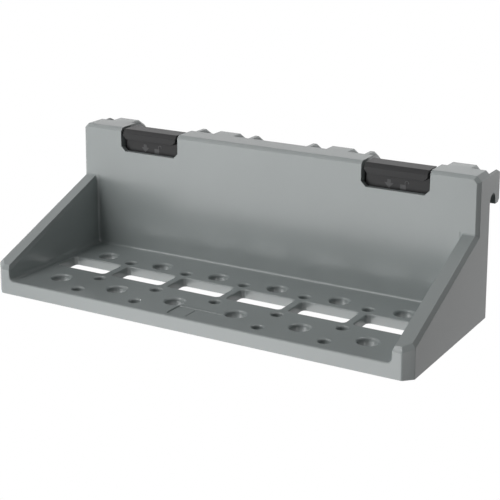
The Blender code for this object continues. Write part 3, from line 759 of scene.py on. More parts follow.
@dataclass
class RackMoulding:
    """The grey body: shelf, gussets, back plate, lock pockets and rail hooks in one moulding."""

    shelf_top: float = 0.0125
    tray_steps: int = 7
    plate_steps: int = 4
    slope_steps: int = 3
    lip_steps: int = 3
    post_steps: int = 2
    cell_steps: int = 2
    rim_steps: int = 5
    post_height: float = 0.0253
    gusset_height: float = 0.0786
    gusset_thickness: float = 0.0169
    plate_depth: float = 0.0242
    draft: float = 0.0209
    rim_chamfer: float = 0.0030
    post_chamfer: float = 0.0075
    corner_chamfer: float = 0.0044
    post_round: float = 0.0011
    slope_fillet: float = 0.0013
    inner_chamfer: float = 0.0018
    inner_drop: float = 0.0042
    inner_reach: float = 0.0090
    tray_fillet: float = 0.0038
    plate_fillet: float = 0.0020
    lip_round: float = 0.0013
    edge_round: float = 0.00035
    wall: float = 0.0030
    rib: float = 0.0025
    gusset_wall: float = 0.0028
    gusset_rib_pitch: float = 0.0400
    back_row_pitch: float = 0.0340
    beam_depth: float = 0.0232
    beam_clear: float = 0.0217
    cell_round: float = 0.0008
    sharp: float = 46.0
    shelf: ShelfPattern = ShelfPattern()
    lock: LockSeat = LockSeat()
    hook: RailHook = RailHook()
    half: float = field(init=False)
    front: float = field(init=False)
    back: float = field(init=False)
    top: float = field(init=False)

    def __post_init__(self) -> None:
        """Take the outer places from the CAD body."""
        low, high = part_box("rack_body")
        self.half, self.front, self.top = high.x, low.y, high.z
        self.back = high.y - self.hook.reach

    @property
    def plate_face(self) -> float:
        """Where the plate's front face is along Y."""
        return self.back - self.plate_depth

    @property
    def tray(self) -> float:
        """Half the width between the gussets."""
        return self.half - self.gusset_thickness

    def side_at(self, height: float) -> float:
        """Half the rack's width at a height."""
        return self.half - self.draft * height

    def slope_at(self, y: float) -> float:
        """Height of the gussets' sloping top at a place along Y."""
        rise = self.gusset_height - self.post_height
        return self.post_height + rise * (y - self.front) / (self.plate_face - self.front)

    def hull(self) -> Workpiece:
        """Raise a block into slope and plate, lean its sides in and chamfer its outside.

        Returns:
            The body's outer form.
        """
        half, face, front = self.half, self.plate_face, self.front
        body = Workpiece.block("rack_moulding", (-half, front, 0), (half, self.back, self.post_height))
        body.split((0, face, 0), (0, 1, 0))
        body.pick(Pick.FACES, lambda c, n: n.z > FACING and c.y > face)
        body.extrude((0, 0, self.top - self.post_height))
        body.pick(Pick.CORNERS, lambda p: near(p.y, face) and near(p.z, self.post_height))
        body.shift((0, 0, self.gusset_height - self.post_height))
        for height in (self.post_height, self.gusset_height, self.top):
            body.pick(Pick.CORNERS, lambda p, z=height: near(p.z, z))
            body.stretch((self.side_at(height) / half, 1, 1), ORIGIN)
        low = self.top - self.corner_chamfer
        lean = self.side_at(low) - self.side_at(self.top)
        for side in Side:
            place = (side.value * self.side_at(low), 0, low)
            body.split(place, (side.value * self.corner_chamfer, 0, lean + self.corner_chamfer), trim=True)

        def post_corner(a: Vector, b: Vector) -> bool:
            """Whether an edge stands at a post's outer front corner."""
            outside = all(near(abs(p.x), self.side_at(p.z)) and near(p.y, front) for p in (a, b))
            return outside and abs(a.z - b.z) > TOUCH

        def slope_and_face(c: Vector, n: Vector) -> bool:
            """Whether a face is the gussets' slope or the plate's front."""
            return n.y < -LEANING and abs(n.x) < ASKEW and c.z > self.post_height

        body.pick(Pick.EDGES, post_corner).bevel(self.post_chamfer)
        body.pick(Pick.FACES, slope_and_face).outline()
        body.bevel(self.rim_chamfer)

        def bend(p: Vector) -> bool:
            """Whether a corner lies where the slope meets the plate."""
            reach = 2 * self.rim_chamfer
            return abs(p.y - face) < reach and abs(p.z - self.gusset_height) < reach

        body.pick(Pick.EDGES, both(bend)).bevel(self.slope_fillet, self.slope_steps)
        chamfer, crest = self.post_chamfer, self.post_height - self.rim_chamfer / 2

        def post_edge(a: Vector, b: Vector) -> bool:
            """Whether an edge stands between a post's front and its corner chamfer."""
            upright = abs(a.z - b.z) > chamfer and near(abs(a.x), self.side_at(a.z) - chamfer)
            return upright and all(near(p.y, front) and p.z < crest for p in (a, b))

        return body.pick(Pick.EDGES, post_edge).bevel(self.post_round, self.post_steps)

    def tray_space(self) -> Workpiece:
        """Model the space between the gussets, with round inner corners.

        Returns:
            The cutter.
        """
        tray, face, floor, top = self.tray, self.plate_face, self.shelf_top, self.gusset_height
        low, high = (-tray, self.front - OVERRUN, floor), (tray, face, top + 2 * OVERRUN)
        space = Workpiece.block("tray_space", low, high)
        space.pick(Pick.EDGES, level(floor, X)).bevel(self.tray_fillet, self.tray_steps)
        space.pick(Pick.EDGES, lambda a, b: near(a.y, face) and near(b.y, face) and min(a.z, b.z) < top)
        return space.bevel(self.plate_fillet, self.plate_steps)

    def inner_wedge(self, side: Side) -> Workpiece:
        """Model the cutter of the steep chamfer along one gusset's inner top edge.

        Args:
            side: Which gusset.

        Returns:
            The cutter, with its rear edge rounded so that it leaves a fillet at the plate.
        """
        start, end, reach = self.front - OVERRUN, self.plate_face, self.inner_reach
        lean = self.inner_chamfer / self.inner_drop
        outer = self.tray + self.inner_chamfer
        across = sorted(side.value * x for x in (self.tray - reach, outer))
        base = self.slope_at(start)
        low, high = (across[0], start, base - reach), (across[1], end, base + reach)
        wedge = Workpiece.block("inner_wedge", low, high)
        for height in (-reach, reach):
            wedge.pick(Pick.CORNERS, lambda p, z=base + height: near(abs(p.x), outer) and near(p.z, z))
            wedge.shift((side.value * lean * height, 0, 0))
        wedge.pick(Pick.CORNERS, lambda p: near(p.y, end)).shift((0, 0, self.slope_at(end) - base))
        inside = self.tray - lean * reach
        wedge.pick(Pick.EDGES, both(lambda p: near(p.y, end) and abs(p.x) > inside))
        return wedge.bevel(self.slope_fillet, self.slope_steps)

    def round_lip(self, body: Workpiece) -> None:
        """Round the front edge of the shelf and of the posts' inner sides.

        Args:
            body: The body with its tray cut.
        """
        inside, low = self.tray + TOUCH, self.shelf_top - TOUCH
        body.pick(Pick.EDGES, both(lambda p: near(p.y, self.front) and abs(p.x) < inside and p.z > low))
        body.bevel(self.lip_round, self.lip_steps)

    def lock_notch(self, side: Side) -> Workpiece:
        """Model the opening in the plate's face that shows one lock.

        Args:
            side: Which lock.

        Returns:
            The cutter.
        """
        lock, face = self.lock, self.plate_face
        low = (side.value * lock.place - lock.notch_half, face - OVERRUN, lock.notch_bottom)
        high = (side.value * lock.place + lock.notch_half, face + lock.wall + OVERRUN, self.top + OVERRUN)
        notch = Workpiece.block("lock_notch", low, high)
        return notch.pick(Pick.EDGES, level(lock.notch_bottom, X)).bevel(lock.notch_chamfer)

    def lock_pocket(self, side: Side) -> Workpiece:
        """Model one lock's pocket behind the plate's face, with the seat of its retainer.

        Args:
            side: Which lock.

        Returns:
            The cutter.
        """
        lock, centre, rear = self.lock, side.value * self.lock.place, self.back + OVERRUN
        start = self.plate_face + lock.wall
        wide, narrow, flange = lock.pocket_half, lock.notch_half, lock.flange_half + GAP
        low = (centre - wide, start, lock.floor)
        pocket = Workpiece.block("lock_pocket", low, (centre + wide, rear, lock.shoulder))
        low = (centre - narrow, start, lock.floor + OVERRUN)
        shaft = Workpiece.block("lock_shaft", low, (centre + narrow, rear, self.top + OVERRUN))
        low = (centre - flange, self.back - lock.seat_depth - GAP, lock.flange_bottom - GAP)
        seat = Workpiece.block("lock_seat", low, (centre + flange, rear + OVERRUN, lock.flange_top + GAP))
        return pocket.weld(shaft).weld(seat)

    def lock_details(self, body: Workpiece) -> None:
        """Drill the screw holes of both locks and raise the pegs that centre their springs.

        Args:
            body: The body with its pockets.
        """
        lock = self.lock
        holes, pegs = [], []
        depth = lock.screw_reach + OVERRUN
        for side in Side:
            for mate in Side:
                place = side.value * lock.place + mate.value * lock.screw_spacing / 2
                middle = (place, self.back - lock.screw_reach / 2, lock.screw_height)
                hole = Workpiece.rod("screw_hole", middle, lock.screw_hole, depth, lock.round_sides, LYING)
                holes.append(hole)
                place = side.value * lock.place + mate.value * lock.peg_spacing / 2
                pegs.append(lock.peg("spring_peg", (place, lock.peg_row(self.back), lock.floor), 1))
        body.cut(holes[0].gather(holes[1:]))
        body.weld(pegs[0].gather(pegs[1:]))

    def flared(self, tool: Workpiece, middle: Point, size: tuple[float, float], round_: float) -> Workpiece:
        """Flare the top of an upright cutter, so that it leaves a rounded rim at the shelf's top.

        Args:
            tool: The cutter, which ends where its flare starts.
            middle: The opening's middle on the shelf's top.
            size: The cutter's width along X and Y.
            round_: The rim's radius.

        Returns:
            The cutter.
        """
        grown, height = size, middle[2] - round_
        tool.pick(Pick.FACES, lambda c, n: n.z > FACING)
        for step in range(1, self.rim_steps + 1):
            angle = math.pi / 2 * step / self.rim_steps
            wider = [width + 2 * round_ * (1 - math.cos(angle)) for width in size]
            rise = middle[2] - round_ * (1 - math.sin(angle)) - height
            height += rise
            scale = (wider[0] / grown[0], wider[1] / grown[1], 1)
            tool.extrude((0, 0, rise)).stretch(scale, (middle[0], middle[1], height))
            grown = wider
        return tool.extrude((0, 0, OVERRUN))

    def bores(self, name: str, radius: float, round_: float, places: list[Place]) -> Workpiece:
        """Model one bore's cutter and copy it to all its places.

        Args:
            name: The cutter's name.
            radius: The bore's radius.
            round_: The radius of its rim.
            places: The bores' places along X and Y.

        Returns:
            All the cutters as one.
        """
        first, low, high = places[0], -OVERRUN, self.shelf_top - round_
        middle = (*first, (low + high) / 2)
        tool = Workpiece.rod(name, middle, radius, high - low, self.shelf.bore_sides)
        self.flared(tool, (*first, self.shelf_top + TOUCH), (2 * radius, 2 * radius), round_)
        return tool.repeat(places)

    def slots(self) -> Workpiece:
        """Model one slot's cutter and copy it to all its places.

        Returns:
            All the cutters as one.
        """
        shelf, y = self.shelf, self.back - self.shelf.slot_row
        places = [(x, y) for x in self.row(shelf.large_count)]
        x = places[0][0]
        wide, deep = shelf.slot_width / 2, shelf.slot_depth / 2
        high = (x + wide, y + deep, self.shelf_top - shelf.slot_round)
        tool = Workpiece.block("tool_slot", (x - wide, y - deep, -OVERRUN), high)
        tool.pick(Pick.EDGES, lambda a, b: abs(a.z - b.z) > OVERRUN)
        tool.bevel(shelf.slot_corner, shelf.corner_steps)
        self.flared(tool, (x, y, self.shelf_top + TOUCH), (2 * wide, 2 * deep), shelf.slot_round)
        return tool.repeat(places)

    def row(self, count: int) -> list[float]:
        """Places along X of a centred row at the bores' pitch."""
        return [(index - (count - 1) / 2) * self.shelf.pitch for index in range(count)]

    def large_places(self) -> list[Place]:
        """Places of the large bores."""
        across = self.row(self.shelf.large_count)
        return [(x, self.back - row) for row in self.shelf.large_rows for x in across]

    def small_places(self) -> list[Place]:
        """Find the small bores' places, clear of the label field.

        Returns:
            The places along X and Y.
        """
        shelf = self.shelf
        across = self.row(shelf.large_count - 1)
        places = [(x, self.back - row) for row in shelf.small_rows for x in across]
        front = self.back - shelf.small_rows[-1]
        return [(x, y) for x, y in places if not near(y, front) or abs(x) > shelf.pitch / 2]

    def label_field(self) -> Workpiece:
        """Model the shallow bare field at the front of the shelf, with the groove that divides it.

        Returns:
            The cutter.
        """
        label, y = self.shelf.label, self.back - self.shelf.small_rows[-1]
        half, reach, floor = label.width / 2, label.reach / 2, self.shelf_top - label.depth
        high = (half, y + reach, self.shelf_top + OVERRUN)
        tool = Workpiece.block("label_field", (-half, y - reach, floor), high)
        tool.pick(Pick.EDGES, lambda a, b: abs(a.z - b.z) > label.depth)
        tool.bevel(label.corner, label.corner_steps)
        tool.pick(Pick.FACES, lambda c, n: n.z < -FACING).outline().bevel(label.depth / 2, 2)
        start, end = label.divider - label.groove / 2, label.divider + label.groove / 2
        low = (start, y - reach + label.corner, floor - label.groove / 2)
        high = (end, y + reach - label.corner, floor + label.depth / 2)
        return tool.weld(Workpiece.block("label_groove", low, high))

    def under_shelf(self) -> Workpiece:
        """Model the hollow under the shelf, less its collars and ribs.

        Returns:
            The cutter.
        """
        shelf, low, high = self.shelf, self.shelf.collar_bottom, self.shelf_top
        start, end = self.front + self.wall, self.plate_face
        roof = self.shelf_top - self.wall
        hollow = Workpiece.block("shelf_hollow", (-self.tray, start, -OVERRUN), (self.tray, end, roof))
        hollow.pick(Pick.EDGES, lambda a, b: max(a.z, b.z) > 0)
        hollow.bevel(shelf.hollow_round, shelf.hollow_steps)
        half = self.row(shelf.large_count)[-1] + shelf.slot_width / 2 + shelf.slot_round + shelf.collar_wall
        reach = shelf.slot_depth / 2 + shelf.slot_round + shelf.collar_wall
        y = self.back - shelf.slot_row
        hollow.cut(Workpiece.block("slot_collar", (-half, y - reach, low), (half, y + reach, high)))
        for name, radius, places in (
            ("large_collar", shelf.large_radius, self.large_places()),
            ("small_collar", shelf.small_radius, self.small_places()),
        ):
            middle, reach = (*places[0], (low + high) / 2), radius + shelf.collar_wall
            collar = Workpiece.rod(name, middle, reach, high - low, shelf.collar_sides)
            hollow.cut(collar.repeat(places))
        places = [(x, 0) for x in self.row(shelf.large_count - 1)]
        left, right = places[0][0] - self.rib / 2, places[0][0] + self.rib / 2
        rib = Workpiece.block("shelf_rib", (left, self.front, shelf.rib_bottom), (right, self.back, high))
        hollow.cut(rib.repeat(places))
        return hollow

    def spans(self, start: float, end: float, pitch: float) -> list[tuple[float, float]]:
        """Split a length at every multiple of a pitch, with a rib left there.

        Args:
            start: Where the length starts.
            end: Where it ends.
            pitch: How far apart the ribs are.

        Returns:
            Start and end of each cell.
        """
        ribs = [index * pitch for index in range(math.ceil(start / pitch), math.floor(end / pitch) + 1)]
        edges = [start - self.rib / 2, *ribs, end + self.rib / 2]
        cells = [(low + self.rib / 2, high - self.rib / 2) for low, high in zip(edges, edges[1:])]
        return [(low, high) for low, high in cells if high - low > self.rib]

    def cell(self, name: str, low: Point, high: Point, mouth: Callable[[Vector], bool]) -> Workpiece:
        """Model one cell between ribs, rounded but for its open mouth.

        Args:
            name: The cutter's name.
            low: Its lowest corner.
            high: Its highest corner.
            mouth: Says whether a point lies on the open side.

        Returns:
            The cutter.
        """
        tool = Workpiece.block(name, low, high)
        tool.pick(Pick.EDGES, lambda a, b: not (mouth(a) and mouth(b)))
        return tool.bevel(self.cell_round, self.cell_steps)

    def back_cells(self) -> Workpiece:
        """Model the cells between the ribs of the plate's back.

        Returns:
            All the cutters as one.
        """
        lock, rear = self.lock, self.back + OVERRUN
        side = self.side_at(self.top) - self.wall
        inner, outer = lock.place - lock.block_half, lock.place + lock.block_half
        beam = self.top - self.beam_depth
        made: list[Workpiece] = []
        stretches = []
        for bottom, top in self.spans(self.wall, beam, self.back_row_pitch):
            below_locks = top < lock.flange_bottom
            free = [(-side, side)] if below_locks else [(-side, -outer), (-inner, inner), (outer, side)]
            stretches += [(start, end, bottom, top) for start, end in free]
        stretches.append((-self.beam_clear, self.beam_clear, beam + self.rib, self.top - self.wall))
        for start, end, bottom, top in stretches:
            for low, high in self.spans(start, end, self.shelf.pitch / 2):
                corner = (low, self.plate_face + self.wall, bottom)
                made.append(self.cell("back_cell", corner, (high, rear, top), lambda p: p.y > self.back))
        return made[0].gather(made[1:])

    def gusset_cells(self) -> Workpiece:
        """Model the cells inside both gussets, open below and under the slope above.

        Returns:
            All the cutters as one.
        """
        inner, outer = self.tray + self.gusset_wall, self.side_at(self.gusset_height) - self.gusset_wall
        start, end = self.front + self.post_chamfer + self.wall, self.plate_face - self.wall
        lean = math.atan2(self.gusset_height - self.post_height, self.plate_face - self.front)
        roof = (self.gusset_wall + self.rim_chamfer) / 2 / math.cos(lean) + GAP
        made: list[Workpiece] = []
        back = self.back
        for low, high in self.spans(start - back, end - back, self.gusset_rib_pitch):
            low, high = low + back, high + back
            for side in Side:
                across = sorted((side.value * inner, side.value * outer))
                top = self.slope_at(low) - roof
                tool = Workpiece.block("gusset_cell", (across[0], low, -OVERRUN), (across[1], high, top))
                rise = self.slope_at(high) - self.slope_at(low)
                tool.pick(Pick.CORNERS, lambda p, y=high, z=top: near(p.y, y) and near(p.z, z))
                tool.shift((0, 0, rise))
                tool.pick(Pick.EDGES, lambda a, b: max(a.z, b.z) > 0)
                made.append(tool.bevel(self.cell_round, self.cell_steps))
        return made[0].gather(made[1:])

    def hook_arm(self, start: float, end: float) -> Workpiece:
        """Block out a hook between two places along X, with its nose and foot cut.

        Args:
            start: Where it starts.
            end: Where it ends.

        Returns:
            The hook without its slot.
        """
        hook, back = self.hook, self.back
        tip, bottom = back + hook.reach, self.top - hook.height
        arm = Workpiece.block("rail_hook", (start, back - OVERRUN, bottom), (end, tip, self.top))
        nose = (0, hook.nose_drop, hook.reach - hook.top_length)
        arm.split((0, back + hook.top_length, self.top), nose, trim=True)
        return arm.split((0, tip, bottom + hook.foot_chamfer), (0, 1, -1), trim=True)

    def rail_slot(self, start: float, end: float) -> Workpiece:
        """Model the round-topped slot that a hook has for the rail.

        Args:
            start: Where the hook starts along X.
            end: Where it ends.

        Returns:
            The cutter.
        """
        hook, back = self.hook, self.back
        top, radius = self.top - hook.slot_drop, hook.slot_width / 2
        low = (start - OVERRUN, back, self.top - hook.height - OVERRUN)
        slot = Workpiece.block("rail_slot", low, (end + OVERRUN, back + hook.slot_width, top))
        slot.pick(Pick.EDGES, level(top, Y)).bevel(radius, hook.slot_steps)
        slot.everything()
        bpy.ops.mesh.remove_doubles(threshold=TOUCH)
        low, high = (low[0], back - 2 * OVERRUN, low[2]), (end + OVERRUN, back + OVERRUN, top - radius)
        return slot.weld(Workpiece.block("rail_slot_root", low, high))

    def middle_hook(self, place: float, width: float) -> Workpiece:
        """Model a hook away from the rack's ends, with its sides chamfered along the top.

        Args:
            place: Its middle along X.
            width: Its width.

        Returns:
            The hook.
        """
        start, end = place - width / 2, place + width / 2
        arm = self.hook_arm(start, end)
        nose = self.top - self.hook.nose_drop
        arm.pick(Pick.EDGES, lambda a, b: near(a.x, b.x) and min(a.z, b.z) > nose - TOUCH)
        arm.bevel(self.hook.side_chamfer)
        return arm.cut(self.rail_slot(start, end))

    def end_hook(self, side: Side) -> Workpiece:
        """Model the hook at one end of the rack, which follows the side's draft and corner.

        Args:
            side: Which end.

        Returns:
            The hook.
        """
        hook, bottom = self.hook, self.top - self.hook.height
        inner = self.side_at(self.top) - hook.end_width
        start, end = sorted((side.value * inner, side.value * self.side_at(bottom)))
        arm = self.hook_arm(start, end)
        lean = (side.value, 0, self.draft)
        arm.split((side.value * self.side_at(bottom), 0, bottom), lean, trim=True)
        low = self.top - self.corner_chamfer
        arm.split((side.value * self.side_at(low), 0, low), (side.value, 0, 1), trim=True)
        peak = self.side_at(self.top) - self.corner_chamfer + hook.end_drop
        arm.split((side.value * peak, 0, self.top - hook.end_drop), (-side.value, 0, 1), trim=True)
        return arm.cut(self.rail_slot(start, end))

    def hooks(self) -> Workpiece:
        """Model one hook of each width, copy it to its places and add the two end hooks.

        Returns:
            All the hooks as one.
        """
        hook = self.hook
        made = [self.end_hook(side) for side in Side]
        for width, places in ((hook.wide, hook.wide_places), (hook.narrow, hook.narrow_places)):
            first = self.middle_hook(places[0], width)
            others = [-places[0], *places[1:], *(-place for place in places[1:])]
            made += [first, *(first.copy("rail_hook_copy", (place - places[0], 0, 0)) for place in others)]
        return made[0].gather(made[1:])

    def build(self, finish: Finish) -> None:
        """Model, finish and place the moulding.

        Args:
            finish: The grey plastic.
        """
        body, shelf = self.hull(), self.shelf
        body.cut(self.tray_space())
        body.clean()
        self.round_lip(body)
        for side in Side:
            body.cut(self.lock_notch(side))
            body.cut(self.lock_pocket(side))
        body.clean()
        body.soften(self.edge_round)
        body.weld(self.hooks())
        for side in Side:
            body.cut(self.inner_wedge(side))
        body.cut(self.back_cells())
        body.cut(self.gusset_cells())
        body.cut(self.under_shelf())
        body.cut(self.bores("large_bore", shelf.large_radius, shelf.large_round, self.large_places()))
        body.cut(self.bores("small_bore", shelf.small_radius, shelf.small_round, self.small_places()))
        body.cut(self.slots())
        body.cut(self.label_field())
        self.lock_details(body)
        body.clean()
        body.finish(finish, "rack", "rack_plastic", ["rack_body"], self.sharp)


@dataclass(frozen=True)
class PanScrew:
    """A pan head screw with a cross recess, which holds a retainer."""

    head_radius: float = 0.0028
    head_height: float = 0.0016
    crown: float = 0.0012
    recess_length: float = 0.0032
    recess_width: float = 0.0008
    recess_depth: float = 0.0010
    core_radius: float = 0.00115
    thread_radius: float = 0.0015
    thread_pitch: float = 0.0010
    length: float = 0.0110
    tip: float = 0.0022
    head_sides: int = 36
    crown_steps: int = 5
    shank_sides: int = 24
    thread_sides: int = 4
    recess_taper: float = 0.7
    root_share: float = 1 / 3
    point_share: float = 0.1
    sharp: float = 35.0

    def build(self) -> Workpiece:
        """Model the screw at the origin, seated on z = 0 with its head up, and lay it along Y.

        Returns:
            The screw, with its head towards +Y.
        """
        high, sides = self.head_height, self.shank_sides
        screw = Workpiece.rod("lock_screw", (0, 0, high / 2), self.head_radius, high, self.head_sides)
        screw.pick(Pick.EDGES, both(lambda p: near(p.z, high))).bevel(self.crown, self.crown_steps)
        floor = high - self.recess_depth
        arms = (self.recess_length, self.recess_width)
        for length, width in (arms, arms[::-1]):
            top = (length / 2, width / 2, high + OVERRUN)
            recess = Workpiece.block("cross_recess", (-length / 2, -width / 2, floor), top)
            recess.pick(Pick.CORNERS, lambda p: near(p.z, floor))
            screw.cut(recess.stretch((self.recess_taper, self.recess_taper, 1), (0, 0, floor)))
        bottom, top = self.tip - self.length, high * self.root_share
        middle = (0, 0, (bottom + top) / 2)
        shank = Workpiece.rod("screw_shank", middle, self.core_radius, top - bottom, sides)
        shank.pick(Pick.FACES, lambda c, n: n.z < -FACING).extrude((0, 0, -self.tip))
        shank.stretch((self.point_share, self.point_share, 1), (0, 0, -self.length))
        screw.weld(shank)
        turns = int((self.length - self.tip) / self.thread_pitch) - 1
        reach = self.thread_radius - self.core_radius
        thread = Workpiece.ring("screw_thread", (self.core_radius, 0, 0), reach, self.thread_sides)
        thread.wind(turns, self.thread_pitch, sides).everything().shift((0, 0, bottom))
        screw.gather([thread]).everything().turn(math.pi / 2, "X")
        return screw


@dataclass(frozen=True)
class CoilSpring:
    """A compression spring with a dead coil at each end."""

    wire: float = 0.0008
    radius: float = 0.0031
    active_turns: int = 5
    height: float = 0.0234
    dead_pitch: float = 0.00084
    sides: int = 10
    steps: int = 28
    sharp: float = 60.0

    def build(self) -> Workpiece:
        """Wind the spring so that it stands on the origin.

        Returns:
            The spring.
        """
        low, high = self.wire / 2, self.height - self.wire / 2
        start, end = low + self.dead_pitch, high - self.dead_pitch
        rise = (end - start) / self.active_turns
        coils = []
        for name, foot, turns, climb in (
            ("lock_spring", low, 1, self.dead_pitch),
            ("active_coil", start, self.active_turns, rise),
            ("top_coil", end, 1, self.dead_pitch),
        ):
            ring = Workpiece.ring(name, (self.radius, 0, foot), self.wire / 2, self.sides)
            coils.append(ring.wind(turns, climb, self.steps))
        spring = coils[0].gather(coils[1:]).everything()
        bpy.ops.mesh.remove_doubles(threshold=TOUCH)

        def seam(c: Vector, n: Vector) -> bool:
            """Whether a face is a cap between two coils."""
            return abs(n.y) > FACING and near(c.y, 0) and (near(c.z, start) or near(c.z, end))

        spring.pick(Pick.FACES, seam)
        bpy.ops.mesh.delete(type="ONLY_FACE")
        spring.close()
        return spring


@dataclass(frozen=True)
class LockMarks:
    """The raised arrow and open padlock on the lock's panel, in places from the lock's middle."""

    rise: float = 0.0002
    edge: float = 0.00008
    arrow_place: float = -0.0075
    arrow_top: float = 0.1140
    shaft_width: float = 0.0034
    shaft_length: float = 0.0028
    head_width: float = 0.0087
    head_length: float = 0.0047
    padlock_place: float = 0.0053
    padlock_bottom: float = 0.1066
    padlock_width: float = 0.0054
    padlock_height: float = 0.0044
    shackle_wire: float = 0.0009
    shackle_span: float = 0.0031
    shackle_leg: float = 0.0018
    wire_sides: int = 32
    padlock_limit: float = 30.0

    def arrow(self, face: float) -> Workpiece:
        """Model the arrow that points down.

        Args:
            face: Where the panel's face is along Y.

        Returns:
            The arrow.
        """
        low = (self.arrow_place - self.shaft_width / 2, face - self.rise, self.arrow_top - self.shaft_length)
        high = (low[0] + self.shaft_width, face + GAP, self.arrow_top)
        arrow = Workpiece.block("lock_mark_arrow", low, high)
        middle, flare = (self.arrow_place, face, low[2]), self.head_width / self.shaft_width
        arrow.pick(Pick.FACES, lambda c, n: n.z < -FACING)
        arrow.extrude(ORIGIN).stretch((flare, 1, 1), middle)
        arrow.extrude((0, 0, -self.head_length)).stretch((0, 1, 1), middle)
        return arrow.clean().soften(self.edge)

    def padlock(self, face: float) -> Workpiece:
        """Model the padlock with its shackle swung open.

        Args:
            face: Where the panel's face is along Y.

        Returns:
            The padlock.
        """
        half, top = self.padlock_width / 2, self.padlock_bottom + self.padlock_height
        low = (self.padlock_place - half, face - self.rise, self.padlock_bottom)
        padlock = Workpiece.block("lock_mark_padlock", low, (low[0] + self.padlock_width, face + GAP, top))
        root, wire, sides = self.padlock_place + half - self.shackle_wire, self.shackle_wire, self.wire_sides
        bend = top + self.shackle_leg
        depth = self.rise + GAP
        middle = (root + self.shackle_span / 2, face - self.rise + depth / 2, bend)
        outer, inner = (self.shackle_span + wire) / 2, (self.shackle_span - wire) / 2
        shackle = Workpiece.rod("padlock_shackle", middle, outer, depth, sides, LYING)
        shackle.cut(Workpiece.rod("shackle_eye", middle, inner, depth + OVERRUN, sides, LYING))
        shackle.split(middle, (0, 0, -1), trim=True)
        for x, foot in ((root, top - wire), (root + self.shackle_span, bend - wire)):
            low, high = (x - wire / 2, face - self.rise, foot), (x + wire / 2, face + GAP, bend)
            shackle.weld(Workpiece.block("shackle_leg", low, high))
        return padlock.weld(shackle).soften(self.edge, angle=self.padlock_limit)


